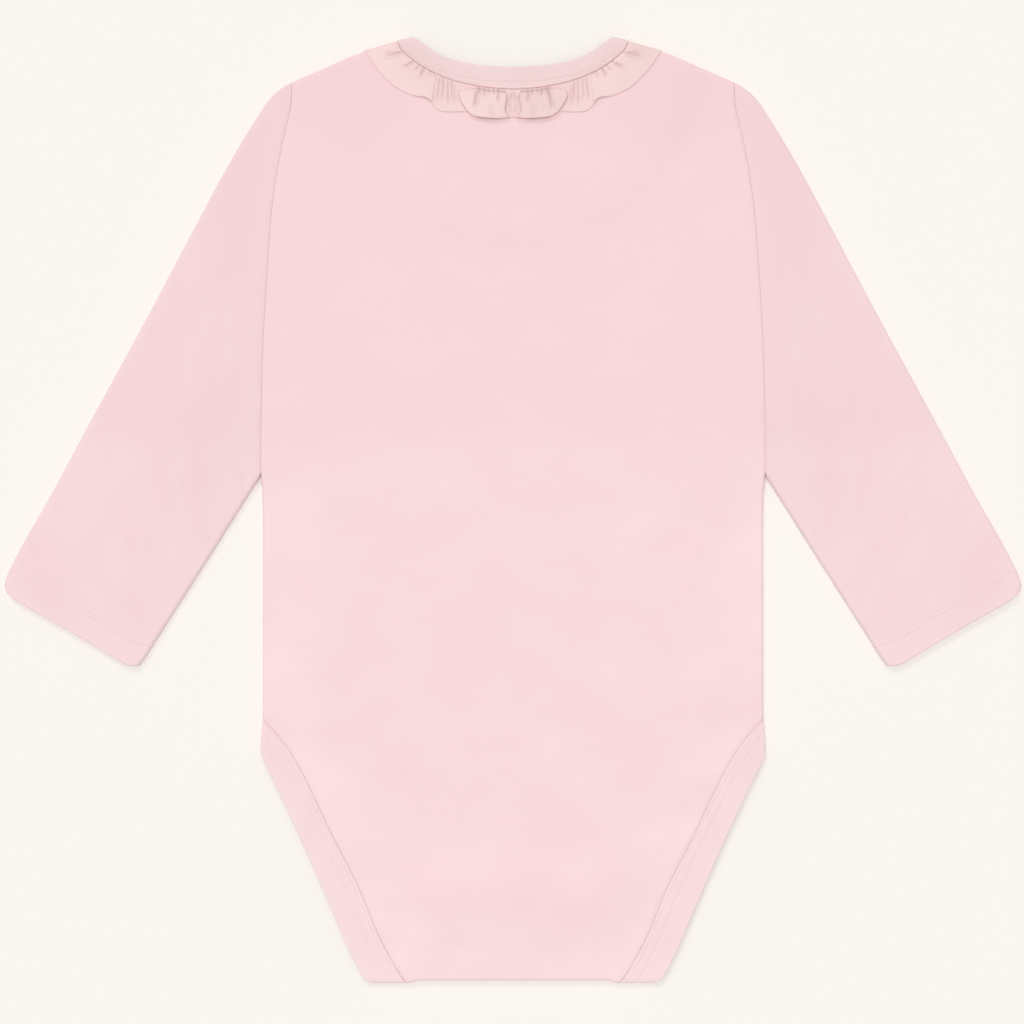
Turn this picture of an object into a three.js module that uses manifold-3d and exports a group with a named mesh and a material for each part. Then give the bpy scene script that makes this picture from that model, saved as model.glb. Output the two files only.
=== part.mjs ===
// A baby's long-sleeved bodysuit, laid flat on its front, so that its back is on top.
//
// Millimetres, +Z up. X runs across the chest and Y from the crotch to the neck. The origin is on the floor,
// at the middle of the outline. The garment is symmetric, so each table gives the half with positive x.
//
// A point of a piece is given by its place in the plan, the layer that it belongs to, and its height over
// that layer's outer face. onLayer turns these into a place in space, round the folded edges as well.

import * as THREE from "three";
import { mergeVertices } from "three/addons/utils/BufferGeometryUtils.js";
import Module from "manifold-3d";

// Cloth
const CLOTH = 1.0; // one layer of interlock cotton
const SEAM_GAP = 0.3; // between two pieces at a seam
const HALF_GAP = SEAM_GAP / 2;
const FOLD_RADIUS = 1.8; // outside radius of a folded edge
const LOFT = 1.3; // air under the middle of the back and the sleeves
const LOFT_RUN = 30; // how far from an edge that air reaches its full height
const SLEEVE_LENGTH = 252;
const HEM_DEPTH = 10.3; // turned hem of a sleeve
const HEM_EXTRA = 0.5; // what the turned hem adds on the inside

// Neck
const FRONT_EDGE_SCOOP = { halfWidth: 46, topY: 209.5, depth: 51.5 };
const FRONT_SEAM_SCOOP = { halfWidth: 51.2, topY: 207.2, depth: 59 };
const FRONT_RUFFLE_SCOOP = { halfWidth: 65.8, topY: 203.1, depth: 69 };
const SCOOP_LEAN = 0.5; // how much a scoop leans in from the shoulder on
const NECK_LIFT = { height: 1.3, from: 1.08, run: 0.3 }; // round the front neck; shares of the ruffle's size

// Crotch
const CROTCH_Y = -209.6;
const FLAP_END_Y = -171;
const FRONT_END_Y = -191;
const FLAP_LIFT = 1.6; // the front layer lies on the flap
const FLAP_LIFT_REACH = 6; // how far past the flap's end that lift stays full
const FLAP_LIFT_RUN = 18;
const BACK_FLAP_LIFT = { height: 0.5, halfWidth: 45, fade: 15 }; // and so does the back, over both
const SNAP_Y = -181;
const SNAP_SPACING = 24;
const SNAP_BANDS = {
  flap: { halfWidth: 31, halfDepth: 8, fade: 14 },
  front: { halfWidth: 33, halfDepth: 8, fade: 14 },
  back: { halfWidth: 31, halfDepth: 6, fade: 26 },
};

// Snap, a fastened pair of pressed studs
const SNAP_OUTER = { radius: 5, thickness: 0.7 };
const SNAP_MIDDLE = { radius: 4.6, thickness: 0.9 };
const SNAP_INNER = { radius: 4.8, thickness: 0.6 };
const SNAP_POST_RADIUS = 1.9;
const SNAP_SIDES = 12;
const SNAP_SOFTENING = 0.2; // of the rims of its discs

// Heights over the floor that the snaps give the layers around them
const FLAP_SNAP_LIFT = SNAP_OUTER.thickness + SEAM_GAP;
const FRONT_SNAP_LIFT =
  FLAP_SNAP_LIFT + CLOTH + 2 * SEAM_GAP + SNAP_MIDDLE.thickness - FLAP_LIFT;
const BACK_SNAP_LIFT =
  FLAP_LIFT + FRONT_SNAP_LIFT + CLOTH + 2 * SEAM_GAP + SNAP_INNER.thickness + CLOTH - 2 * FOLD_RADIUS;

// Ruffle
const RUFFLE_LOW = SEAM_GAP + CLOTH / 2; // middle of a strip that lies on the panel
const FOLD = {
  radius: 0.65,
  rootRise: 8, // degrees, at the seam
  fullTurn: 180,
  turnedAt: 0.34, // share of the width at which it lies flat on itself
  rootRun: 3, // lengths of its straight middle part
  midRun: 1,
  edgeRun: 2.4,
};
const LOBE_PUFF = 0.35; // how much the middle of a lobe stands up
const LOBE_SHARES = [0.14, 0.28, 0.42, 0.54, 0.6, 0.66, 0.72, 0.78, 0.89]; // places across a lobe
const LOBE_CREASE = {
  along: 15.4, // its place at the seam
  slant: 3.4, // how far it moves sideways on its way to the outer edge
  halfWidth: 1.1,
  depth: 0.55,
  fullTo: 0.5, // shares of the ruffle's width at which it begins to fade, and how quickly
  fade: 0.2,
};
const RIPPLE = { height: 0.3, length: 4.4, atShare: 0.12, fade: 0.5, lastAlong: 44, lastRun: 6 };
const SCALLOP = { depth: 1.3, waves: 4.5, fade: 0.125 }; // its outer edge on the front
const EDGE_SPREAD = 1.9; // how much longer the ruffle's outer edge is than its seam, near the shoulder
const RUFFLE_ROWS = [0, 0.1, 0.22, 0.36, 0.55, 0.78, 1]; // from the neck seam to the outer edge

// Outlines, as points {x, y} of the right half

const SHOULDER = [
  { x: 51.2, y: 207.2 },
  { x: 65.8, y: 203.1 },
  { x: 72.6, y: 200.7 },
  { x: 80.9, y: 197.1 },
  { x: 88.6, y: 193.9 },
  { x: 98.3, y: 189.6 },
];
const SLEEVE_OUTER = [
  { x: 98.3, y: 189.6 },
  { x: 104.1, y: 186.2 },
  { x: 108.9, y: 181.5 },
  { x: 113.2, y: 175.0 },
  { x: 125.2, y: 155.2 },
  { x: 163.3, y: 84.0 },
  { x: 201.8, y: 12.9 },
  { x: 225.7, y: -33.2 },
  { x: 224.6, y: -38.0 },
];
const ARMHOLE = [
  { x: 98.3, y: 189.6 },
  { x: 98.7, y: 179.2 },
  { x: 102.4, y: 162.8 },
  { x: 106.5, y: 138.3 },
  { x: 108.8, y: 110.0 },
  { x: 110.8, y: 76.9 },
  { x: 111.8, y: 42.7 },
  { x: 112.1, y: 15.0 },
];
const SLEEVE_INNER = [
  { x: 112.1, y: 15.0 },
  { x: 119.6, y: 3.2 },
  { x: 138.8, y: -27.1 },
  { x: 153.2, y: -49.6 },
  { x: 165.6, y: -68.6 },
  { x: 167.0, y: -70.0 },
];
const CUFF = [
  { x: 224.6, y: -38.0 },
  { x: 221.0, y: -40.6 },
  { x: 205.0, y: -49.9 },
  { x: 189.2, y: -59.0 },
  { x: 171.6, y: -69.2 },
  { x: 167.0, y: -70.0 },
];
const SIDE = [
  { x: 112.1, y: 15.0 },
  { x: 111.4, y: 6.0 },
  { x: 111.2, y: -40.0 },
  { x: 111.3, y: -93.3 },
];
const HIP = [
  { x: 111.3, y: -93.3 },
  { x: 112.3, y: -100.0 },
  { x: 112.4, y: -107.5 },
];
const NECK_SEAM = [
  { x: 0, y: 186.0 },
  { x: 13.4, y: 187.1 },
  { x: 28.2, y: 190.5 },
  { x: 39.3, y: 195.6 },
  { x: 46.3, y: 200.6 },
  { x: 49.9, y: 204.2 },
  { x: 51.2, y: 207.2 },
];
const NECK_EDGE = [
  { x: 0, y: 196.3 },
  { x: 9.4, y: 196.6 },
  { x: 17.4, y: 197.4 },
  { x: 25.3, y: 199.1 },
  { x: 32.8, y: 201.8 },
  { x: 39.2, y: 206.0 },
  { x: 43.6, y: 209.1 },
  { x: 46.0, y: 209.5 },
];
const LEG_SEAM = [
  { x: 47.5, y: CROTCH_Y },
  { x: 51.3, y: -204.6 },
  { x: 58.8, y: -191.2 },
  { x: 67.9, y: -169.4 },
  { x: 80.6, y: -144.1 },
  { x: 89.7, y: -125.0 },
  { x: 95.3, y: -114.0 },
  { x: 101.0, y: -104.8 },
  { x: 106.2, y: -98.6 },
  { x: 111.3, y: -93.3 },
];
const LEG_EDGE = [
  { x: 63.0, y: CROTCH_Y },
  { x: 66.4, y: -207.4 },
  { x: 71.4, y: -199.2 },
  { x: 82.4, y: -174.0 },
  { x: 92.2, y: -151.6 },
  { x: 102.4, y: -129.4 },
  { x: 110.0, y: -113.8 },
  { x: 112.4, y: -107.5 },
];
const FRONT_LEG_SEAM = [
  { x: 34, y: FRONT_END_Y },
  { x: 44, y: -172 },
  { x: 60, y: -150 },
  { x: 78, y: -128 },
  { x: 96, y: -106 },
  { x: 111.3, y: -93.3 },
];
const FRONT_LEG_EDGE = [
  { x: 47, y: FRONT_END_Y },
  { x: 56, y: -176 },
  { x: 71, y: -156 },
  { x: 88, y: -136 },
  { x: 103, y: -119 },
  { x: 112.4, y: -107.5 },
];
const FLAP_SEAM = [
  { x: 47.5, y: CROTCH_Y },
  { x: 44, y: -196 },
  { x: 38, y: FLAP_END_Y },
];
const FLAP_EDGE = [
  { x: 63.0, y: CROTCH_Y },
  { x: 57, y: -196 },
  { x: 49, y: FLAP_END_Y },
];

// Outer edge of the ruffle: along is the distance from the centre back, measured on the neck seam.
const RUFFLE_EDGE = [
  { along: 0, x: 0, y: 173.6 },
  { along: 5.6, x: 5.6, y: 172.8 },
  { along: 10, x: 9.9, y: 172.9 },
  { along: 14.3, x: 14.2, y: 173.3 },
  { along: 17.8, x: 17.6, y: 174.1 },
  { along: 20.5, x: 20.4, y: 175.9 },
  { along: 24, x: 24.0, y: 176.0 },
  { along: 28.5, x: 28.2, y: 175.9 },
  { along: 32, x: 32.4, y: 176.4 },
  { along: 33.8, x: 35.0, y: 178.2 },
  { along: 35.4, x: 36.7, y: 181.0 },
  { along: 37.4, x: 39.2, y: 182.4 },
  { along: 40.5, x: 43.3, y: 183.0 },
  { along: 44.5, x: 48.7, y: 184.9 },
  { along: 48.5, x: 53.9, y: 188.3 },
  { along: 52, x: 59.2, y: 193.6 },
  { along: 55, x: 62.6, y: 198.1 },
  { along: 57.8, x: 65.8, y: 203.1 },
];
// Where the folds of the ruffle lie, as distances along the seam, at each share of its width from the seam.
const LOBE_INNER_EDGE = [
  { share: 0, along: 4.4 },
  { share: 0.24, along: 2.6 },
  { share: 0.55, along: 3.1 },
  { share: 0.78, along: 3.3 },
  { share: 1, along: 1.5 },
];
const LOBE_OUTER_EDGE = [
  { share: 0, along: 17.6 },
  { share: 0.15, along: 19.6 },
  { share: 0.3, along: 23.2 },
  { share: 0.4, along: 24.3 },
  { share: 0.58, along: 23.8 },
  { share: 0.78, along: 22.4 },
  { share: 1, along: 20.4 },
];
const PLEAT = { valley: 33.6, crest: 35.4, foot: 43, height: 1.0, risenAt: 0.2 };

// Where seams are sampled, as shares of their length. Both sides of a seam use the same places, so that its
// gap stays even. Beside a folded edge the places are given by their distances from it.
const FOLD_STEPS = [0.3, 1.0, 1.9];
const NECK_SHARES = [0, 0.16, 0.32, 0.47, 0.61, 0.74, 0.85, 0.94, 1];
const LEG_SHARES = [0, 0.06, 0.16, 0.29, 0.44, 0.59, 0.74, 0.88, 1];
const ARMHOLE_SHARES = [0, 0.06, 0.15, 0.26, 0.39, 0.53, 0.68, 0.84, 1];
const beforeEnds = (shares) => shares.slice(1, -1);
const afterFold = (length) => FOLD_STEPS.map((distance) => distance / length);
const beforeFold = (length) => afterFold(length).map((share) => 1 - share).reverse();

// Columns of a panel, from 0 on its centre line to 1 at its side. The neck seam takes the inner half of them.
const HALF_WIDTH = 111;
const BACK_LENGTH = 390;
const FRONT_LENGTH = 340;
const NECK_SEAM_LENGTH = 57.8;
const FRONT_RUFFLE_LENGTH = 100;
const NECK_SHARE = 0.5;
const HALF_COLUMNS = [
  ...NECK_SHARES.map((share) => share * NECK_SHARE),
  ...beforeEnds(LEG_SHARES).map((share) => NECK_SHARE + share * (1 - NECK_SHARE)),
  ...beforeFold(HALF_WIDTH),
  1,
];
const FRONT_END_SHARE = HALF_COLUMNS[4];
const FRONT_LEG_SHARES = HALF_COLUMNS.slice(4).map(
  (place) => (place - FRONT_END_SHARE) / (1 - FRONT_END_SHARE),
);

// Small helpers

const clamp01 = (t) => Math.min(1, Math.max(0, t));
const smooth = (t) => clamp01(t) ** 2 * (3 - 2 * clamp01(t));
const mix = (a, b, t) => a + (b - a) * t;
const point = (x, y) => ({ x, y });
const between = (a, b, t) => point(mix(a.x, b.x, t), mix(a.y, b.y, t));

// A smooth curve through a table of points, by its share of the length.
function curveThrough(table) {
  const curve = new THREE.CatmullRomCurve3(
    table.map(({ x, y }) => new THREE.Vector3(x, y, 0)),
    false,
    "centripetal",
  );
  curve.arcLengthDivisions = 400;
  return (share) => {
    const { x, y } = curve.getPointAt(clamp01(share));
    return point(x, y);
  };
}

// The same curve as a line of straight pieces between its places at some shares.
const faceted = (curve, shares) => {
  const corners = shares.map((share) => ({ share, ...curve(share) }));
  return (share) => {
    const last = corners.length - 1;
    const next = corners.findIndex((corner, k) => k > 0 && (corner.share >= share || k === last));
    const [a, b] = [corners[next - 1], corners[next]];
    return between(a, b, (share - a.share) / (b.share - a.share));
  };
};

// The same curve moved sideways: to the left of the way it runs, if distance is positive.
function shifted(curve, distance) {
  const step = 1e-3;
  return (share) => {
    const before = curve(share - step);
    const after = curve(share + step);
    const length = Math.hypot(after.x - before.x, after.y - before.y);
    const { x, y } = curve(share);
    return point(
      x - ((after.y - before.y) / length) * distance,
      y + ((after.x - before.x) / length) * distance,
    );
  };
}

// Two curves, one after the other; the first ends at the given share.
const joined = (first, second, at) => (share) =>
  share <= at ? first(share / at) : second((share - at) / (1 - at));

const reversed = (curve) => (share) => curve(1 - share);
const trimmed = (curve, start) => (share) => curve(mix(start, 1, share));

// A value that a table gives at some places, and is smooth in between.
function lookUp(table, column, at, value) {
  const last = table.length - 1;
  const next = table.findIndex((row) => row[column] >= at);
  if (next === 0) return table[0][value];
  if (next < 0) return table[last][value];
  const slope = (k) => {
    const low = table[Math.max(k - 1, 0)];
    const high = table[Math.min(k + 1, last)];
    return (high[value] - low[value]) / (high[column] - low[column]);
  };
  const a = table[next - 1];
  const b = table[next];
  const span = b[column] - a[column];
  const t = (at - a[column]) / span;
  const h = t * t * (3 - 2 * t);
  return (
    mix(a[value], b[value], h) +
    span * t * (1 - t) * ((1 - t) * slope(next - 1) - t * slope(next))
  );
}

// A scoop of the front neck, from the shoulder at share 0 to the centre front at share 1.
const scoop = ({ halfWidth, topY, depth }) => (share) => {
  const angle = (share * Math.PI) / 2;
  const across = mix(Math.cos(angle), 1 - share, SCOOP_LEAN);
  return point(halfWidth * across, topY - depth * Math.sin(angle));
};

const shoulder = curveThrough(SHOULDER);
const sleeveOuter = curveThrough(SLEEVE_OUTER);
const sleeveInner = curveThrough(SLEEVE_INNER);
const armhole = faceted(curveThrough(ARMHOLE), ARMHOLE_SHARES);
const cuff = curveThrough(CUFF);
const side = curveThrough(SIDE);
const hip = curveThrough(HIP);
const neckSeam = faceted(curveThrough(NECK_SEAM), NECK_SHARES);
const neckEdge = curveThrough(NECK_EDGE);
const frontNeckSeam = faceted(reversed(scoop(FRONT_SEAM_SCOOP)), NECK_SHARES);
const frontNeckEdge = reversed(scoop(FRONT_EDGE_SCOOP));
const legSeam = faceted(curveThrough(LEG_SEAM), LEG_SHARES);
const legEdge = curveThrough(LEG_EDGE);
const frontLegSeam = faceted(curveThrough(FRONT_LEG_SEAM), FRONT_LEG_SHARES);
const frontLegEdge = curveThrough(FRONT_LEG_EDGE);
const flapSeam = curveThrough(FLAP_SEAM);
const flapEdge = curveThrough(FLAP_EDGE);
const neckFold = (share) => between(neckEdge(1), neckSeam(1), share);
const crotchFold = (share) =>
  between(point(0, CROTCH_Y), point(LEG_EDGE[0].x, CROTCH_Y), share);

// Folded edges and open edges of the plan

// The pieces of a curve as straight segments, each with the direction that leads into the garment.
function segmentsOf(curve, inside, count) {
  return Array.from({ length: count }, (_, i) => {
    const a = curve(i / count);
    const b = curve((i + 1) / count);
    const length = Math.hypot(b.x - a.x, b.y - a.y);
    const normal = point(-(b.y - a.y) / length, (b.x - a.x) / length);
    const turn = Math.sign(normal.x * (inside.x - a.x) + normal.y * (inside.y - a.y));
    return { a, b, inward: point(normal.x * turn, normal.y * turn) };
  });
}

// The straight line that goes on past the end of a curve.
function runOn(curve, distance) {
  const end = curve(1);
  const before = curve(0.99);
  const length = Math.hypot(end.x - before.x, end.y - before.y);
  return (share) => between(before, end, 1 + (share * distance) / length);
}

const CUFF_RUN_ON = 6;
const BODY_MIDDLE = point(0, 0);
const SLEEVE_MIDDLE = point(160, 20);
const shoulderFolds = [
  ...segmentsOf(neckFold, BODY_MIDDLE, 6),
  ...segmentsOf(shoulder, BODY_MIDDLE, 40),
  ...segmentsOf(sleeveOuter, SLEEVE_MIDDLE, 150),
  ...segmentsOf(runOn(sleeveOuter, CUFF_RUN_ON), SLEEVE_MIDDLE, 1),
];
const sideFolds = [
  ...segmentsOf(sleeveInner, SLEEVE_MIDDLE, 50),
  ...segmentsOf(runOn(sleeveInner, CUFF_RUN_ON), SLEEVE_MIDDLE, 1),
  ...segmentsOf(side, BODY_MIDDLE, 60),
  ...segmentsOf(hip, BODY_MIDDLE, 12),
];
const crotchFolds = segmentsOf(crotchFold, BODY_MIDDLE, 4);
const openEdges = [
  ...segmentsOf(neckEdge, BODY_MIDDLE, 30),
  ...segmentsOf(legEdge, BODY_MIDDLE, 40),
  ...segmentsOf(cuff, SLEEVE_MIDDLE, 30),
];

// The nearest of some segments to a point of the right half: its distance and the way into the garment there.
function nearest(segments, x, y) {
  let best = { distance: Infinity, inward: point(0, 0) };
  for (const { a, b, inward } of segments) {
    const dx = b.x - a.x;
    const dy = b.y - a.y;
    const t = clamp01(((x - a.x) * dx + (y - a.y) * dy) / (dx * dx + dy * dy));
    const away = point(x - a.x - t * dx, y - a.y - t * dy);
    const distance = Math.hypot(away.x, away.y);
    if (distance >= best.distance) continue;
    const isInside = away.x * inward.x + away.y * inward.y > 0.02;
    best = { distance, inward: isInside ? point(away.x / distance, away.y / distance) : inward };
  }
  return best;
}

// Layers

function neckLift(x, y) {
  const { halfWidth, topY, depth } = FRONT_RUFFLE_SCOOP;
  const reach = Math.hypot(x / halfWidth, Math.min(0, y - topY) / depth);
  return NECK_LIFT.height * (1 - smooth((reach - NECK_LIFT.from) / NECK_LIFT.run));
}

// 1 over the row of snaps, 0 well away from it. The layers further up are lifted over a wider area.
const overSnaps = ({ halfWidth, halfDepth, fade }, x, y) =>
  (1 - smooth((Math.abs(x) - halfWidth) / fade)) *
  (1 - smooth((Math.abs(y - SNAP_Y) - halfDepth) / fade));

const overFlap = (y) => 1 - smooth((y - FLAP_END_Y - FLAP_LIFT_REACH) / FLAP_LIFT_RUN);

function backLift(x, y) {
  const { height, halfWidth, fade } = BACK_FLAP_LIFT;
  const flapLift = height * overFlap(y) * (1 - smooth((Math.abs(x) - halfWidth) / fade));
  return neckLift(x, y) + BACK_SNAP_LIFT * overSnaps(SNAP_BANDS.back, x, y) + flapLift;
}

const loft = (x, y) =>
  LOFT *
  smooth(
    nearest([...shoulderFolds, ...sideFolds, ...crotchFolds, ...openEdges], x, y).distance /
      LOFT_RUN,
  );

// A layer: which way its outer face looks, the folds that it ends in, and its height over a plain flat layer.
const BACK = {
  up: 1,
  folds: [...shoulderFolds, ...sideFolds, ...crotchFolds],
  rise: (x, y) => backLift(x, y) + loft(x, y),
};
const FRONT = {
  up: -1,
  folds: [...shoulderFolds, ...sideFolds],
  rise: (x, y) =>
    neckLift(x, y) +
    FLAP_LIFT * overFlap(y) +
    FRONT_SNAP_LIFT * overSnaps(SNAP_BANDS.front, x, y),
};
const FLAP = {
  up: -1,
  folds: crotchFolds,
  rise: (x, y) => FLAP_SNAP_LIFT * overSnaps(SNAP_BANDS.flap, x, y),
};

// The place of a point that stands at a height over a layer's outer face, also where that turns into a fold.
function onLayer(layer, x, y, height) {
  const mirror = x < 0 ? -1 : 1;
  const ax = Math.abs(x);
  const { distance, inward } = nearest(layer.folds, ax, y);
  const within = Math.max(0, FOLD_RADIUS - distance);
  const arc = Math.sqrt(FOLD_RADIUS ** 2 - within ** 2);
  const step = 0.5;
  const rise = layer.rise(ax, y);
  const slopeX = (layer.rise(ax + step, y) - layer.rise(ax - step, y)) / (2 * step);
  const slopeY = (layer.rise(ax, y + step) - layer.rise(ax, y - step)) / (2 * step);
  const normal = new THREE.Vector3(
    -within * inward.x - layer.up * arc * slopeX,
    -within * inward.y - layer.up * arc * slopeY,
    layer.up * arc,
  ).normalize();
  return new THREE.Vector3(
    mirror * (ax + normal.x * height),
    y + normal.y * height,
    FOLD_RADIUS + rise + layer.up * arc + normal.z * height,
  );
}

// The same on a folded edge itself, where two layers meet.
function onFold(layer, x, y, height) {
  const mirror = x < 0 ? -1 : 1;
  const { inward } = nearest(layer.folds, Math.abs(x), y);
  return new THREE.Vector3(
    x - mirror * inward.x * height,
    y - inward.y * height,
    FOLD_RADIUS + layer.rise(Math.abs(x), y),
  );
}

// Solids

// A closed solid from outer points, inner points and the four-sided faces of the outer side.
function shell(outer, inner, faces) {
  const count = outer.length;
  const corners = [];
  const used = new Set(faces.flatMap((f) => f.map((a, k) => `${a},${f[(k + 1) % 4]}`)));
  for (const [a, b, c, d] of faces) {
    corners.push(a, b, c, a, c, d);
    corners.push(a + count, c + count, b + count, a + count, d + count, c + count);
    for (const [from, to] of [[a, b], [b, c], [c, d], [d, a]])
      if (!used.has(`${to},${from}`))
        corners.push(to, from, from + count, to, from + count, to + count);
  }
  return solid([...outer, ...inner], corners);
}

// Faces of a grid of points, in rows of equal length, closed round the rows or not. The second half of a row
// is split the other way, so that a symmetric piece has symmetric faces.
function gridFaces(rows, columns, closed = false, first = 0) {
  const faces = [];
  const steps = closed ? columns : columns - 1;
  for (let i = 0; i + 1 < rows; i++)
    for (let j = 0; j < steps; j++) {
      const near = first + i * columns;
      const far = near + columns;
      const next = (j + 1) % columns;
      const corners = [near + j, near + next, far + next, far + j];
      faces.push(j < steps / 2 ? corners : [...corners.slice(1), corners[0]]);
    }
  return faces;
}

// A closed solid from section loops of equal length, in a ring or with flat ends.
function sweep(sections, ring) {
  const size = sections[0].length;
  const corners = [];
  const count = sections.length;
  for (let i = 0; i < (ring ? count : count - 1); i++)
    for (let j = 0; j < size; j++) {
      const a = i * size + j;
      const b = i * size + ((j + 1) % size);
      const c = ((i + 1) % count) * size + ((j + 1) % size);
      const d = ((i + 1) % count) * size + j;
      corners.push(a, b, c, a, c, d);
    }
  if (!ring) {
    const plan = sections[0].map((_, k) => k);
    const last = (count - 1) * size;
    for (const [a, b, c] of fan(plan)) {
      corners.push(c, b, a);
      corners.push(last + a, last + b, last + c);
    }
  }
  return solid(sections.flat(), corners);
}

// Triangles that fill a thin section: they zip from one long side to the other.
function fan(loop) {
  const triangles = [];
  let low = 0;
  let high = loop.length - 1;
  while (high - low > 1) {
    triangles.push([loop[low], loop[low + 1], loop[high]]);
    low += 1;
    if (high - low > 1) {
      triangles.push([loop[low], loop[high - 1], loop[high]]);
      high -= 1;
    }
  }
  return triangles;
}

// A geometry whose faces point out, whichever way round its corners were given.
function solid(points, corners) {
  let volume = 0;
  for (let i = 0; i < corners.length; i += 3) {
    const [a, b, c] = [0, 1, 2].map((k) => points[corners[i + k]]);
    volume += a.dot(b.clone().cross(c));
  }
  const turned = volume < 0 ? [...corners].reverse() : corners;
  return new THREE.BufferGeometry()
    .setAttribute("position", new THREE.Float32BufferAttribute(points.flatMap((p) => p.toArray()), 3))
    .setIndex(turned);
}

// A point inside four curves: top and bottom run left to right, left and right run down.
function coons({ top, bottom, left, right }, u, v) {
  const corners = (axis) =>
    mix(mix(top(0)[axis], top(1)[axis], u), mix(bottom(0)[axis], bottom(1)[axis], u), v);
  const inside = (axis) =>
    mix(top(u)[axis], bottom(u)[axis], v) + mix(left(v)[axis], right(v)[axis], u) - corners(axis);
  return point(inside("x"), inside("y"));
}

// Body panels

const FORK_SHARE = 0.62; // the armhole takes this share of a panel's side
const COLUMNS = [...[...HALF_COLUMNS].reverse().map((place) => -place), ...HALF_COLUMNS.slice(1)];

// The four sides of a panel, from the half curves of its neck, its lower end and its leg seam. The lower end
// takes the columns up to endShare.
function panelSides(neck, lowerEnd, leg, endShare) {
  const topHalf = joined(neck, shoulder, NECK_SHARE);
  const bottomHalf = joined((share) => between(point(0, lowerEnd.y), lowerEnd, share), leg, endShare);
  const whole = (half) => (u) => {
    const { x, y } = half(Math.abs(2 * u - 1));
    return point(u < 0.5 ? -x : x, y);
  };
  const right = joined(shifted(armhole, -HALF_GAP), side, FORK_SHARE);
  return {
    top: whole(topHalf),
    bottom: whole(bottomHalf),
    right,
    left: (v) => point(-right(v).x, right(v).y),
  };
}

// Outer and inner points of a panel. At the shoulders and sides it stops half a gap from the middle of the
// fold. A panel that turns under at its lower end runs to the middle of that fold.
function panelPoints(layer, sides, rows, turnsUnder) {
  const outer = [];
  const inner = [];
  for (const v of rows)
    for (const column of COLUMNS) {
      const { x, y } = coons(sides, (column + 1) / 2, v);
      const stop = FOLD_RADIUS + layer.rise(Math.abs(x), y) + layer.up * HALF_GAP;
      const turning = turnsUnder && v === 1 && Math.abs(column) <= NECK_SHARE;
      for (const [height, list] of [[0, outer], [-CLOTH, inner]]) {
        const place = turning ? onFold(layer, x, y, height) : onLayer(layer, x, y, height);
        if (!turning) place.z = layer.up > 0 ? Math.max(place.z, stop) : Math.min(place.z, stop);
        list.push(place);
      }
    }
  return { outer, inner };
}

// Rows from the neck and shoulders, where v is 0, to the crotch and legs, where it is 1.
const ARMHOLE_ROWS = ARMHOLE_SHARES.slice(1).map((share) => share * FORK_SHARE);
const BACK_ROWS = [
  0,
  ...afterFold(BACK_LENGTH),
  ...ARMHOLE_ROWS,
  ...[0.69, 0.76, 0.83, 0.875, 0.91, 0.94, 0.972],
  ...beforeFold(BACK_LENGTH),
  1,
];
const FRONT_ROWS = [
  0,
  ...afterFold(FRONT_LENGTH),
  ...ARMHOLE_ROWS,
  ...[0.72, 0.81, 0.87, 0.91, 0.945, 0.975, 1],
];
const FLAP_DEPTH = FLAP_END_Y - CROTCH_Y;
const FLAP_SHARES = [...afterFold(FLAP_DEPTH), 0.16, 0.34, 0.54, 0.74, 0.88, 1];

// The back: a panel, and the flap that turns under at the crotch.
function backPanel() {
  const crotchEnd = point(LEG_SEAM[0].x - HALF_GAP, CROTCH_Y);
  const leg = shifted(legSeam, HALF_GAP);
  const sides = panelSides(shifted(neckSeam, -HALF_GAP), crotchEnd, leg, NECK_SHARE);
  const { outer, inner } = panelPoints(BACK, sides, BACK_ROWS, true);
  const faces = gridFaces(BACK_ROWS.length, COLUMNS.length);
  const foldRow = outer.length - COLUMNS.length;
  const turning = COLUMNS.map((column, k) => ({ column, index: foldRow + k })).filter(
    ({ column }) => Math.abs(column) <= NECK_SHARE,
  );
  const edge = shifted(flapSeam, HALF_GAP);
  const flapStart = outer.length;
  for (const share of FLAP_SHARES)
    for (const { column } of turning) {
      const { x, y } = edge(share);
      outer.push(onLayer(FLAP, (column / NECK_SHARE) * x, y, 0));
      inner.push(onLayer(FLAP, (column / NECK_SHARE) * x, y, -CLOTH));
    }
  const turn = turning.slice(1).map((_, j) => [
    turning[j].index,
    turning[j + 1].index,
    flapStart + j + 1,
    flapStart + j,
  ]);
  faces.push(...turn, ...gridFaces(FLAP_SHARES.length, turning.length, false, flapStart));
  return shell(outer, inner, faces);
}

function frontPanel() {
  const neck = shifted(frontNeckSeam, -HALF_GAP);
  const leg = shifted(frontLegSeam, HALF_GAP);
  const sides = panelSides(neck, point(leg(0).x, FRONT_END_Y), leg, FRONT_END_SHARE);
  const { outer, inner } = panelPoints(FRONT, sides, FRONT_ROWS, false);
  return shell(outer, inner, gridFaces(FRONT_ROWS.length, COLUMNS.length));
}

// Sleeves

const HEM_START = 1 - HEM_DEPTH / SLEEVE_LENGTH;
const HEM_STEP = 0.02;
const SLEEVE_ROWS = [
  ...[0, 0.04, 0.1, 0.18, 0.27, 0.37, 0.48, 0.59, 0.7, 0.8, 0.88],
  ...[HEM_START - HEM_STEP, HEM_START, mix(HEM_START, 1, 0.5), 1],
];
const SLEEVE_TRIM = { outer: 0.0007, inner: 0.003 }; // shares of its folds that the armhole's gap takes off
const LEAST_SLANT = 0.4; // keeps the places beside a fold apart where a ring meets it at a flat angle

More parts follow.
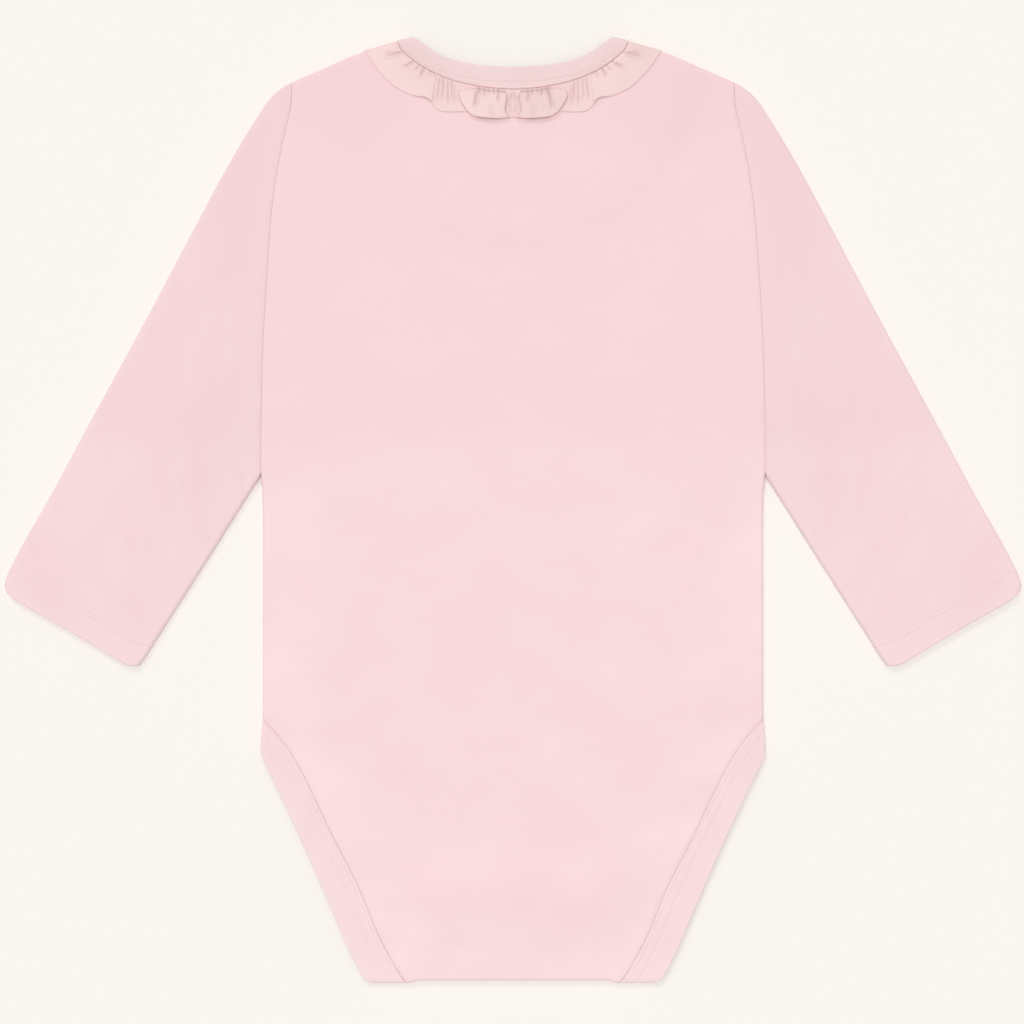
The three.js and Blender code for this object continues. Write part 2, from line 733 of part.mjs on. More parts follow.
// A sleeve is a flat tube: each ring runs on the back layer from the outer fold to the inner one, then back
// on the front layer.
function sleeve(sideSign) {
  const sides = {
    left: trimmed(sleeveOuter, SLEEVE_TRIM.outer),
    right: trimmed(sleeveInner, SLEEVE_TRIM.inner),
    top: shifted(armhole, HALF_GAP),
    bottom: cuff,
  };
  const outer = [];
  const inner = [];
  for (const v of SLEEVE_ROWS) {
    const start = coons(sides, 0, v);
    const end = coons(sides, 1, v);
    const length = Math.hypot(end.x - start.x, end.y - start.y);
    const along = point((end.x - start.x) / length, (end.y - start.y) / length);
    const wall = CLOTH + HEM_EXTRA * smooth((v - HEM_START + HEM_STEP) / HEM_STEP);
    // The share of a ring's width at which it is a given distance from the fold at one of its ends.
    const shareAt = (fold, distance) => {
      const { inward } = nearest(BACK.folds, fold.x, fold.y);
      const slant = Math.abs(along.x * inward.x + along.y * inward.y);
      return distance / (length * Math.max(slant, LEAST_SLANT));
    };
    const shares = [
      ...FOLD_STEPS.map((d) => shareAt(start, d)),
      ...beforeEnds(ARMHOLE_SHARES),
      ...[...FOLD_STEPS].reverse().map((d) => 1 - shareAt(end, d)),
    ];
    const ring = [
      { place: onFold, layer: BACK, share: 0 },
      ...shares.map((share) => ({ place: onLayer, layer: BACK, share })),
      { place: onFold, layer: BACK, share: 1 },
      ...[...shares].reverse().map((share) => ({ place: onLayer, layer: FRONT, share })),
    ];
    for (const { place, layer, share } of ring) {
      const { x, y } = coons(sides, share, v);
      outer.push(place(layer, sideSign * x, y, 0));
      inner.push(place(layer, sideSign * x, y, -wall));
    }
  }
  const columns = outer.length / SLEEVE_ROWS.length;
  return shell(outer, inner, gridFaces(SLEEVE_ROWS.length, columns, true));
}

// Bindings

// Section of the neck binding: share of its width from the open edge to the seam, and height over the panel.
// The seam allowance that is stitched down under it makes it thicker at the seam, with a ridge along it.
const NECK_SECTION = [
  { share: 0, height: -0.55 },
  { share: 0.05, height: 0.05 },
  { share: 0.46, height: 0.2 },
  { share: 0.56, height: 0.75 },
  { share: 0.82, height: 0.8 },
  { share: 0.9, height: 1.2 },
  { share: 1, height: 1.1 },
  { share: 1, height: -1.0 },
  { share: 0.05, height: -1.0 },
];
const LEG_SECTION = [
  { share: 0, height: -0.6 },
  { share: 0.05, height: 0 },
  { share: 0.55, height: 0 },
  { share: 0.93, height: 0 },
  { share: 1, height: -0.15 },
  { share: 1, height: -0.9 },
  { share: 0.9, height: -1.2 },
  { share: 0.05, height: -1.2 },
];

// One station of a binding, from its open edge to its seam, laid on a layer.
const bindingSection = (section) => ({ place, layer, edge, seam }) =>
  section.map(({ share, height }) => {
    const { x, y } = between(edge, seam, share);
    return place(layer, x, y, height);
  });

function neckBinding() {
  const backSeam = shifted(neckSeam, HALF_GAP);
  const frontSeam = shifted(frontNeckSeam, HALF_GAP);
  const onBack = (t) => ({ place: onLayer, layer: BACK, edge: neckEdge(t), seam: backSeam(t) });
  const onFront = (t) => ({ place: onLayer, layer: FRONT, edge: frontNeckEdge(t), seam: frontSeam(t) });
  const half = [
    ...[0, ...beforeEnds(NECK_SHARES), ...beforeFold(NECK_SEAM_LENGTH)].map(onBack),
    { ...onBack(1), place: onFold, seam: shifted(neckSeam, SEAM_GAP)(1) },
    ...[0, ...beforeEnds(NECK_SHARES)].map(onFront).reverse(),
  ];
  const flip = ({ x, y }) => point(-x, y);
  const otherHalf = half
    .slice(1, -1)
    .reverse()
    .map((station) => ({ ...station, edge: flip(station.edge), seam: flip(station.seam) }));
  return sweep([...half, ...otherHalf].map(bindingSection(NECK_SECTION)), true);
}

// A leg binding runs from the end of the flap round the crotch fold, up the back, round the hip and down the
// front.
function legBinding(sideSign) {
  const stationsOn = (layer, edge, seam, shares) => {
    const sewn = shifted(seam, -SEAM_GAP);
    return shares.map((t) => ({ place: onLayer, layer, edge: edge(t), seam: sewn(t) }));
  };
  const hipShares = beforeFold(HALF_WIDTH * (1 - NECK_SHARE));
  const backShares = [0, ...beforeEnds(LEG_SHARES), ...hipShares, 1];
  const back = stationsOn(BACK, legEdge, legSeam, backShares);
  back[0] = { ...back[0], place: onFold, seam: point(back[0].seam.x + SEAM_GAP, CROTCH_Y) };
  back[back.length - 1].place = onFold;
  const stations = [
    ...stationsOn(FLAP, flapEdge, flapSeam, FLAP_SHARES).reverse(),
    ...back,
    ...stationsOn(FRONT, frontLegEdge, frontLegSeam, FRONT_LEG_SHARES.slice(0, -1)).reverse(),
  ];
  const turned = ({ x, y }) => point(sideSign * x, y);
  return sweep(
    stations
      .map((station) => ({ ...station, edge: turned(station.edge), seam: turned(station.seam) }))
      .map(bindingSection(LEG_SECTION)),
    false,
  );
}

// Ruffle

const ruffleRoot = shifted(neckSeam, -SEAM_GAP);
const rufflePlan = (along, share) => {
  const root = ruffleRoot(along / NECK_SEAM_LENGTH);
  const edge = point(
    lookUp(RUFFLE_EDGE, "along", along, "x"),
    lookUp(RUFFLE_EDGE, "along", along, "y"),
  );
  return between(root, edge, share);
};

// Shares of the length of one fold at which it is sampled: more in its two turns.
const TURN_SHARES = [0, 0.08, 0.16, 0.24, 0.32, 0.5, 0.68, 0.76, 0.84, 0.92, 1];

// A fold seen from the outer edge: the strip turns up and back over itself, then forward again one step
// higher. Close to the seam it is only a gentle rise. Each point has an offset along the seam, a height and a
// slope.
function foldPath(share) {
  const turned = smooth(share / FOLD.turnedAt);
  const turn = THREE.MathUtils.degToRad(mix(FOLD.rootRise, FOLD.fullTurn, turned));
  const inRun = mix(FOLD.rootRun, FOLD.midRun, smooth((2 * share) / FOLD.turnedAt));
  const run = inRun + (FOLD.edgeRun - FOLD.midRun) * smooth((1.5 * share) / FOLD.turnedAt - 1);
  const r = FOLD.radius;
  const length = 2 * r * turn + run;
  return TURN_SHARES.map((part) => {
    const at = part * length;
    const first = Math.min(at, r * turn) / r;
    const straight = Math.min(Math.max(at - r * turn, 0), run);
    const last = turn - Math.max(at - r * turn - run, 0) / r;
    return {
      along: r * Math.sin(first) + straight * Math.cos(turn) + r * (Math.sin(turn) - Math.sin(last)),
      height: r * (1 - Math.cos(first)) + straight * Math.sin(turn) + r * (Math.cos(last) - Math.cos(turn)),
      slope: at < r * turn ? first : last,
    };
  });
}

// Distances along the seam at which the pleat and the flat end are sampled.
const OUTER_STEPS = [34.6, PLEAT.crest, 36.6, 39, PLEAT.foot, 47, 50.5, 53.4];

// The strip's middle line at a share of its width, from the centre back to the shoulder.
function ruffleLine(share) {
  const rising = foldPath(share);
  const { along: width, height: step } = rising[rising.length - 1];
  const edgeOf = Math.min(...rising.map((p) => p.along));
  const innerStart = lookUp(LOBE_INNER_EDGE, "share", share, "along") + CLOTH / 2 - edgeOf;
  const outerEnd = lookUp(LOBE_OUTER_EDGE, "share", share, "along") - CLOTH / 2 + edgeOf;
  const outerStart = outerEnd - width;
  const line = [{ along: 0, height: 0, slope: 0 }];
  for (const p of rising) line.push({ ...p, along: innerStart + p.along });
  for (const t of LOBE_SHARES) {
    const along = mix(innerStart + width, outerStart, t);
    const puff = LOBE_PUFF * Math.sin(Math.PI * t) * share;
    line.push({ along, height: step + puff - lobeCrease(along, share), slope: 0 });
  }
  for (const p of [...rising].reverse())
    line.push({ along: outerEnd - p.along, height: p.height, slope: -p.slope });
  const flat = [0.35, 0.7, 1].map((t) => mix(outerEnd, PLEAT.valley, t));
  for (const along of [...flat, ...OUTER_STEPS])
    line.push({ along, height: pleatHeight(along, share), slope: 0 });
  return line.map((p) => ({ ...p, height: RUFFLE_LOW + p.height + rootRipple(p.along, share) }));
}

// The crease that runs down a lobe from the seam and ends above its edge.
function lobeCrease(along, share) {
  const { along: start, slant, halfWidth, depth, fullTo, fade } = LOBE_CREASE;
  const off = (along - start - slant * share) / halfWidth;
  return depth * Math.exp(-off * off) * (1 - smooth((share - fullTo) / fade));
}

function pleatHeight(along, share) {
  const climb = smooth((along - PLEAT.valley) / (PLEAT.crest - PLEAT.valley));
  const fall = 1 - smooth((along - PLEAT.crest) / (PLEAT.foot - PLEAT.crest));
  return PLEAT.height * climb * fall * smooth(share / PLEAT.risenAt);
}

// The small gathers along the seam.
function rootRipple(along, share) {
  const { height, length, atShare, fade, lastAlong, lastRun } = RIPPLE;
  const wave = 0.5 - 0.5 * Math.cos((2 * Math.PI * along) / length);
  const nearSeam = smooth(share / atShare) * (1 - smooth((share - atShare) / fade));
  return height * wave * nearSeam * (1 - smooth((along - lastAlong) / lastRun));
}

// The ruffle is a ring: on the back from the centre to the shoulder, round it, and along the front neck.
function ruffle() {
  const frontRoot = shifted(frontNeckSeam, -SEAM_GAP);
  const frontEdge = reversed(scoop(FRONT_RUFFLE_SCOOP));
  const frontShares = [
    ...[0, 0.08, ...beforeEnds(NECK_SHARES)],
    ...beforeFold(FRONT_RUFFLE_LENGTH),
  ].reverse();
  const outer = [];
  const inner = [];
  for (const share of RUFFLE_ROWS) {
    const half = [];
    for (const { along, height, slope } of ruffleLine(share)) {
      const [top, low] = [1, -1].map((turn) => {
        const { x, y } = rufflePlan(along - (turn * Math.sin(slope) * CLOTH) / 2, share);
        return onLayer(BACK, x, y, height + (turn * Math.cos(slope) * CLOTH) / 2);
      });
      half.push({ top, low });
    }
    for (const distance of [...FOLD_STEPS].reverse()) {
      const { x, y } = rufflePlan(NECK_SEAM_LENGTH - distance / mix(1, EDGE_SPREAD, share), share);
      half.push({
        top: onLayer(BACK, x, y, RUFFLE_LOW + CLOTH / 2),
        low: onLayer(BACK, x, y, RUFFLE_LOW - CLOTH / 2),
      });
    }
    const turn = rufflePlan(NECK_SEAM_LENGTH, share);
    half.push({
      top: onFold(BACK, turn.x, turn.y, RUFFLE_LOW + CLOTH / 2),
      low: onFold(BACK, turn.x, turn.y, RUFFLE_LOW - CLOTH / 2),
    });
    for (const t of frontShares) {
      const swing = Math.sin(t * Math.PI * SCALLOP.waves) ** 2;
      const wave = SCALLOP.depth * swing * smooth((1 - t) / SCALLOP.fade) * share;
      const edge = frontEdge(t);
      const reach = Math.hypot(edge.x, edge.y - FRONT_RUFFLE_SCOOP.topY);
      const rim = point(
        edge.x * (1 - wave / reach),
        FRONT_RUFFLE_SCOOP.topY + (edge.y - FRONT_RUFFLE_SCOOP.topY) * (1 - wave / reach),
      );
      const { x, y } = between(frontRoot(t), rim, share);
      half.push({
        top: onLayer(FRONT, x, y, RUFFLE_LOW + CLOTH / 2),
        low: onLayer(FRONT, x, y, RUFFLE_LOW - CLOTH / 2),
      });
    }
    const flip = (p) => new THREE.Vector3(-p.x, p.y, p.z);
    const ring = [
      ...half,
      ...half.slice(1, -1).reverse().map(({ top, low }) => ({ top: flip(top), low: flip(low) })),
    ];
    outer.push(...ring.map((p) => p.top));
    inner.push(...ring.map((p) => p.low));
  }
  const columns = outer.length / RUFFLE_ROWS.length;
  return shell(outer, inner, gridFaces(RUFFLE_ROWS.length, columns, true));
}

// Snaps

// One fastened snap, a solid of revolution through the flap and the front.
function snap() {
  const flapInner = FLAP_SNAP_LIFT + CLOTH;
  const middle = flapInner + SEAM_GAP;
  const innerDisc = middle + SNAP_MIDDLE.thickness + 2 * SEAM_GAP + CLOTH;
  const disc = ({ radius, thickness }, base) => [
    [SNAP_POST_RADIUS, base],
    [radius - SNAP_SOFTENING, base],
    [radius, base + SNAP_SOFTENING],
    [radius, base + thickness - SNAP_SOFTENING],
    [radius - SNAP_SOFTENING, base + thickness],
    [SNAP_POST_RADIUS, base + thickness],
  ];
  const profile = [
    [0, 0],
    ...disc(SNAP_OUTER, 0).slice(1),
    ...disc(SNAP_MIDDLE, middle),
    ...disc(SNAP_INNER, innerDisc).slice(0, -1),
    [0, innerDisc + SNAP_INNER.thickness],
  ].map(([radius, z]) => new THREE.Vector2(radius, z));
  const geometry = new THREE.LatheGeometry(profile, SNAP_SIDES);
  geometry.rotateX(Math.PI / 2); // the lathe turns about Y
  return geometry;
}

// Booleans

const wasm = await Module();
wasm.setup();

function manifoldOf(geometry) {
  const bare = geometry.clone();
  bare.deleteAttribute("normal");
  bare.deleteAttribute("uv");
  const merged = mergeVertices(bare, 1e-3);
  return new wasm.Manifold(
    new wasm.Mesh({
      numProp: 3,
      vertProperties: merged.attributes.position.array,
      triVerts: new Uint32Array(merged.index.array),
    }),
  );
}

function geometryOf(manifold) {
  const { vertProperties, triVerts } = manifold.getMesh();
  return new THREE.BufferGeometry()
    .setAttribute("position", new THREE.BufferAttribute(vertProperties, 3))
    .setIndex(new THREE.BufferAttribute(triVerts, 1));
}

const SNAP_XS = [-SNAP_SPACING, 0, SNAP_SPACING];

// A panel with a hole for each snap's post, from below the floor up to a height.
function withSnapHoles(geometry, top) {
  let cut = manifoldOf(geometry);
  for (const x of SNAP_XS) {
    const radius = SNAP_POST_RADIUS + SEAM_GAP;
    const drill = new THREE.CylinderGeometry(radius, radius, 2 * top, SNAP_SIDES);
    drill.rotateX(Math.PI / 2);
    drill.translate(x, SNAP_Y, 0);
    cut = cut.subtract(manifoldOf(drill));
  }
  return geometryOf(cut);
}

// Materials and the finished group

const cottonPink = new THREE.MeshStandardMaterial({ color: "#f8dadb", roughness: 0.95, metalness: 0 });
const bindingPink = new THREE.MeshStandardMaterial({ color: "#f5d6d7", roughness: 0.92, metalness: 0 });
const rufflePink = new THREE.MeshStandardMaterial({ color: "#f6d8d8", roughness: 0.93, metalness: 0 });
const snapPink = new THREE.MeshStandardMaterial({ color: "#efd0d2", roughness: 0.4, metalness: 0 });

const bodysuit = new THREE.Group();

function addPiece(name, geometry, material) {
  const mesh = new THREE.Mesh(geometry, material);
  mesh.name = name;
  bodysuit.add(mesh);
  return mesh;
}

const flapTop = FLAP_SNAP_LIFT + CLOTH + SEAM_GAP;
const frontTop = FLAP_LIFT + FRONT_SNAP_LIFT + CLOTH + HALF_GAP;
addPiece("back_panel", withSnapHoles(backPanel(), flapTop), cottonPink);
addPiece("front_panel", withSnapHoles(frontPanel(), frontTop), cottonPink);
addPiece("sleeve_left", sleeve(-1), cottonPink);
addPiece("sleeve_right", sleeve(1), cottonPink);
addPiece("neck_binding", neckBinding(), bindingPink);
addPiece("neck_ruffle", ruffle(), rufflePink);
addPiece("leg_binding_left", legBinding(-1), bindingPink);
addPiece("leg_binding_right", legBinding(1), bindingPink);
["snap_left", "snap_middle", "snap_right"].forEach((name, k) => {
  addPiece(name, snap(), snapPink).position.set(SNAP_XS[k], SNAP_Y, 0);
});

export default bodysuit;
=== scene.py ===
"""A baby's bodysuit, laid flat on its front so that its back is on top.

Lengths in the tables and sizes are millimetres; the finished meshes are in metres. X runs across the
chest, Y from the crotch to the neck and Z up. Outline tables give the half with positive x, crease tables
both sides.
"""
import math

import bpy
import numpy as np
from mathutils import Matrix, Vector


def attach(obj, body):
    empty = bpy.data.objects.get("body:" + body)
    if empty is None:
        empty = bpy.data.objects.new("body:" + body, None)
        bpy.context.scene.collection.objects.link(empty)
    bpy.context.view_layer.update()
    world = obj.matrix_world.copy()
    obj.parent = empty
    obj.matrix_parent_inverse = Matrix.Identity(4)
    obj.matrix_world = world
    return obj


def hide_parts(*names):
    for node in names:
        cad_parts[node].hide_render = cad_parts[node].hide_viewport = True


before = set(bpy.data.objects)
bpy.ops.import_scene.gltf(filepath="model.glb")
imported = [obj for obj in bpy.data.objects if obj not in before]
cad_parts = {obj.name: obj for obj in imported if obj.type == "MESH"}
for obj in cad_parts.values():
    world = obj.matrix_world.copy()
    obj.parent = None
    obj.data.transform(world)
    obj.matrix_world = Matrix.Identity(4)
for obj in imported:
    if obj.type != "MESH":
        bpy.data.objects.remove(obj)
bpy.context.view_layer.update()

# Cloth
CLOTH = 1.0
RUFFLE_CLOTH = 0.5
SEAM_GAP = 0.06
HALF_GAP = SEAM_GAP / 2
RIM = 0.15  # rounding of a cloth's cut edge inside a seam
FOLD_RADIUS = 1.8
LOFT = 1.3
LOFT_RUN = 30
HEM_EXTRA = 0.5
HEM_DEPTH = 10.3
SLEEVE_LENGTH = 252

# Neck
SCOOP_LEAN = 0.5
FRONT_EDGE_SCOOP = (46, 209.5, 51.5)
FRONT_SEAM_SCOOP = (51.2, 207.2, 59)
FRONT_RUFFLE_SCOOP = (65.8, 203.1, 69)
NECK_LIFT = {"height": 1.3, "from": 1.08, "run": 0.3}

# Crotch
CROTCH_Y = -209.6
FLAP_END_Y = -171
FRONT_END_Y = -191
FLAP_LIFT = 1.6
FLAP_LIFT_REACH = 6
FLAP_LIFT_RUN = 18
BACK_FLAP_LIFT = {"height": 0.5, "half_width": 45, "fade": 15}
LEG_HANG = {"depth": 1.2, "up_to": 9, "x": 47.5, "fade": 6}  # how the leg ends hang below the crotch
SNAP_Y = -181
SNAP_SPACING = 24
SNAP_BANDS = {
    "flap": {"half_width": 31, "half_depth": 8, "fade": 14},
    "front": {"half_width": 33, "half_depth": 8, "fade": 14},
    "back": {"half_width": 31, "half_depth": 6, "fade": 26},
}
SNAP_OUTER = {"radius": 5, "thickness": 0.7}
SNAP_MIDDLE = {"radius": 4.6, "thickness": 0.9}
SNAP_INNER = {"radius": 4.8, "thickness": 0.6}
SNAP_POST_RADIUS = 1.9
SNAP_SOFTENING = 0.25  # of the rims of its discs
SNAP_DISH = [(0, 0.22), (1.2, 0.2), (1.9, 0.12), (2.3, 0.0)]  # hollow of its outer faces: radius and depth
SNAP_SIDES = 48
SNAP_GAP = 0.3
FLAP_SNAP_LIFT = SNAP_OUTER["thickness"] + SNAP_GAP
FRONT_SNAP_LIFT = FLAP_SNAP_LIFT + CLOTH + 2 * SNAP_GAP + SNAP_MIDDLE["thickness"] - FLAP_LIFT
BACK_SNAP_LIFT = (
    FLAP_LIFT + FRONT_SNAP_LIFT + 2 * CLOTH + 2 * SNAP_GAP + SNAP_INNER["thickness"] - 2 * FOLD_RADIUS
)

# Ruffle
RUFFLE_ROOT = {"height": 0.24, "half_cloth": 0.16, "rise": 0.12}  # where the strip comes out of the neck seam
RUFFLE_CLEARANCE = 0.12
RUFFLE_LOW = RUFFLE_CLEARANCE + RUFFLE_CLOTH / 2  # middle of the strip where it lies on the back
RUFFLE_WIDTH = 13.4
FOLD = {
    "radius": 0.4,
    "root_rise": 8,  # degrees, at the seam
    "full_turn": 180,
    "turned_at": 0.15,
    "root_run": 2.4,
    "mid_run": 1.8,
    "edge_run": 3,
}
LOBE_PUFF = 0.5
# Ridges beside a gather, in its own depth and half width, that begin a little way from the seam
GATHER_RIDGE = {"height": 1.2, "off": 1.7, "half_width": 0.9, "from_share": 0.14}
GATHER_ENDS = (0.25, 0.4)  # shares of a gather's length in which it begins and ends
GATHER_DEPTH = 0.45  # the most that a gather may press into the cloth
RUFFLE_TONE = 0.33
# Painted shade: how much less pale the ruffle is in its gathers and along its folds, more so near the seam
RUFFLE_PAINTED_SHADE = {"gather": 0.7, "fold": 0.6, "fold_width": 0.6, "upper_fold": 1.0, "up_to": 0.4}
RIPPLE = {"height": 0.25, "length": 4.4, "at_share": 0.12, "fade": 0.5, "last_along": 44, "last_run": 6}
SCALLOP = {"depth": 1.3, "waves": 4.5, "fade": 0.125}
EDGE_BEAD = {"height": 0.12, "inside": 0.7, "half_width": 0.5}
EDGE_SPREAD = 1.9
NECK_SEAM_LENGTH = 57.8
PLEAT = {"valley": 34.1, "crest": 35.1, "foot": 42, "height": 0.95, "risen_at": 0.15}

# Outlines of the right half
SHOULDER = [(51.2, 207.2), (65.8, 203.1), (72.6, 200.7), (80.9, 197.1), (88.6, 193.9), (98.3, 189.6)]
SLEEVE_OUTER = [
    (98.3, 189.6), (104.1, 186.2), (108.9, 181.5), (113.2, 175.0), (125.2, 155.2),
    (163.3, 84.0), (201.8, 12.9), (225.7, -33.2), (224.6, -38.0),
]
ARMHOLE = [
    (98.3, 189.6), (98.7, 179.2), (102.4, 162.8), (106.5, 138.3),
    (108.8, 110.0), (110.8, 76.9), (111.8, 42.7), (112.1, 15.0),
]
SLEEVE_INNER = [(112.1, 15.0), (119.6, 3.2), (138.8, -27.1), (153.2, -49.6), (165.6, -68.6), (167.0, -70.0)]
CUFF = [(224.6, -38.0), (221.0, -40.6), (205.0, -49.9), (189.2, -59.0), (171.6, -69.2), (167.0, -70.0)]
SIDE = [(112.1, 15.0), (111.4, 6.0), (111.2, -40.0), (111.3, -93.3)]
HIP = [(111.3, -93.3), (112.3, -100.0), (112.4, -107.5)]
NECK_SEAM = [
    (0, 186.0), (13.4, 187.1), (28.2, 190.5), (39.3, 195.6), (46.3, 200.6), (49.9, 204.2), (51.2, 207.2),
]
NECK_EDGE = [
    (0, 196.3), (9.4, 196.6), (17.4, 197.4), (25.3, 199.1),
    (32.8, 201.8), (39.2, 206.0), (43.6, 209.1), (46.0, 209.5),
]
LEG_SEAM = [
    (47.5, CROTCH_Y), (51.3, -204.6), (58.8, -191.2), (67.9, -169.4), (80.6, -144.1),
    (89.7, -125.0), (95.3, -114.0), (101.0, -104.8), (106.2, -98.6), (111.3, -93.3),
]
LEG_EDGE = [
    (63.0, CROTCH_Y), (66.4, -207.4), (71.4, -199.2), (82.4, -174.0),
    (92.2, -151.6), (102.4, -129.4), (110.0, -113.8), (112.4, -107.5),
]
FRONT_LEG_SEAM = [(34, FRONT_END_Y), (44, -172), (60, -150), (78, -128), (96, -106), (111.3, -93.3)]
FRONT_LEG_EDGE = [(47, FRONT_END_Y), (56, -176), (71, -156), (88, -136), (103, -119), (112.4, -107.5)]
FLAP_SEAM = [(47.5, CROTCH_Y), (44, -196), (38, FLAP_END_Y)]
FLAP_EDGE = [(63.0, CROTCH_Y), (57, -196), (49, FLAP_END_Y)]

# Outer edge of the ruffle: distance along the neck seam from the centre, then the place
RUFFLE_EDGE = np.array([
    (0, 0, 173.6), (5.6, 5.6, 172.8), (10, 9.9, 172.9), (14.3, 14.2, 173.3), (17.8, 17.6, 174.1),
    (20.5, 20.4, 175.9), (24, 24.0, 176.0), (28.5, 28.2, 175.9), (32, 32.4, 176.4), (33.8, 35.0, 178.2),
    (35.4, 36.7, 181.0), (37.4, 39.2, 182.4), (40.5, 43.3, 183.0), (44.5, 48.7, 184.9), (48.5, 53.9, 188.3),
    (52, 59.2, 193.6), (55, 62.6, 198.1), (57.8, 65.8, 203.1),
])
# Where its folds lie: share of its width from the seam, then the distance along the seam
LOBE_INNER_EDGE = np.array([(0, 4.4), (0.24, 2.6), (0.55, 3.1), (0.78, 3.3), (1, 1.5)])
LOBE_OUTER_EDGE = np.array([
    (0, 15.8), (0.08, 16.6), (0.19, 20.0), (0.28, 23.3), (0.38, 24.4), (0.58, 23.8), (0.78, 22.4), (1, 20.4),
])
# Small gathers: start and end, each along the seam and as a share of the width, then half width and depth
GATHERS = [
    (14.6, -0.1, 15.3, 0.4, 0.42, 0.42), (15.6, 0.08, 17.8, 0.86, 0.6, 0.45),
    (12.8, -0.1, 12.5, 0.42, 0.35, 0.36), (11.2, -0.1, 10.4, 0.3, 0.35, 0.3),
    (6.4, -0.1, 6.8, 0.6, 0.4, 0.38), (8.6, -0.1, 8.4, 0.32, 0.35, 0.3),
    (9.6, 0.5, 9.0, 1.1, 1.4, 0.16), (0.0, 0.04, 1.7, 0.5, 0.35, 0.34),
    (1.9, 0.42, 0.7, 0.9, 0.35, 0.26), (26.0, 0.0, 25.8, 0.9, 0.4, 0.24),
    (27.6, -0.1, 27.2, 0.8, 0.35, 0.34), (29.3, -0.1, 29.1, 0.95, 0.35, 0.36),
    (31.2, -0.1, 31.4, 0.8, 0.35, 0.34), (33.0, -0.1, 33.2, 0.9, 0.4, 0.36),
    (37.6, -0.1, 38.2, 0.3, 0.4, 0.2), (40.6, -0.1, 41.5, 0.42, 0.4, 0.38),
    (43.2, -0.1, 44.2, 0.3, 0.4, 0.28), (45.6, -0.1, 49.2, 0.44, 0.4, 0.38),
    (52.4, -0.1, 56.4, 0.85, 0.5, 0.4),
]

MM = 0.001
CHUNK = 4000  # places looked at together
TINY = 1e-9
CURVE_STEPS = 32  # between two points of an outline table
FOLD_STEPS = FOLD_RADIUS * (1 - np.cos(np.linspace(0, math.pi / 2, 8)[1:]))


# Small helpers

def mix(a, b, t):
    return a + (b - a) * t


def smooth(t):
    t = np.clip(t, 0, 1)
    return t * t * (3 - 2 * t)


def drop(distance, radius):
    """How far a rounded rim falls away at a distance from its edge."""
    within = np.clip(radius - distance, 0, radius)
    return radius - np.sqrt(radius**2 - within**2)


def curve_through(table):
    """A smooth curve through points, by its share of the length."""
    points = np.array(table, float)
    held = [2 * points[0] - points[1], *points, 2 * points[-1] - points[-2]]
    line = [points[:1]]
    t = np.linspace(0, 1, CURVE_STEPS + 1)[1:, None]
    for a, b, c, d in zip(held, held[1:], held[2:], held[3:]):
        ab, bc, cd = (math.sqrt(np.linalg.norm(q - p)) for p, q in ((a, b), (b, c), (c, d)))
        start = ((b - a) / ab - (c - a) / (ab + bc) + (c - b) / bc) * bc
        end = ((c - b) / bc - (d - b) / (bc + cd) + (d - c) / cd) * bc
        bend = 3 * (c - b) - 2 * start - end
        twist = 2 * (b - c) + start + end
        line.append(b + start * t + bend * t**2 + twist * t**3)
    return along_line(np.concatenate(line))


def along_line(line):
    """A line of points, by its share of the length."""
    length = np.concatenate([[0], np.cumsum(np.linalg.norm(np.diff(line, axis=0), axis=1))])
    return lambda share: np.stack([np.interp(share, length / length[-1], line[:, k]) for k in (0, 1)], -1)


def shifted(curve, distance):
    """The same curve moved to the left of the way it runs."""
    step = 1e-3

    def moved(share):
        share = np.asarray(share, float)
        along = curve(share + step) - curve(share - step)
        along = along / np.linalg.norm(along, axis=-1, keepdims=True)
        return curve(share) + distance * np.stack([-along[..., 1], along[..., 0]], -1)

    return moved


def joined(first, second, at):
    """Two curves, one after the other; the first ends at the given share."""
    def both(share):
        share = np.asarray(share, float)
        early = first(np.minimum(share / at, 1))
        late = second(np.maximum((share - at) / (1 - at), 0))
        return np.where((share <= at)[..., None], early, late)

    return both


def straight(a, b):
    return lambda share: mix(np.array(a, float), np.array(b, float), np.asarray(share, float)[..., None])


def scoop(size):
    """A scoop of the front neck, from the centre front to the shoulder."""
    half_width, top_y, depth = size

    def curve(share):
        share = 1 - np.asarray(share, float)
        angle = share * math.pi / 2
        across = mix(np.cos(angle), 1 - share, SCOOP_LEAN)
        return np.stack([half_width * across, top_y - depth * np.sin(angle)], -1)

    return curve


def run_on(curve, distance):
    """The straight line that goes on past the end of a curve."""
    end, before = curve(1.0), curve(0.99)
    return straight(end, end + (end - before) / np.linalg.norm(end - before) * distance)


def look_up(table, at, value=1):
    """A value that a table gives at some places, and is smooth in between."""
    places, values = table[:, 0], table[:, value]
    at = np.clip(at, places[0], places[-1])
    k = np.clip(np.searchsorted(places, at), 1, len(places) - 1)
    last = len(places) - 1
    low, high = np.maximum(np.arange(last + 1) - 1, 0), np.minimum(np.arange(last + 1) + 1, last)
    slope = (values[high] - values[low]) / (places[high] - places[low])
    span = places[k] - places[k - 1]
    t = (at - places[k - 1]) / span
    ends = mix(values[k - 1], values[k], t * t * (3 - 2 * t))
    return ends + span * t * (1 - t) * ((1 - t) * slope[k - 1] - t * slope[k])


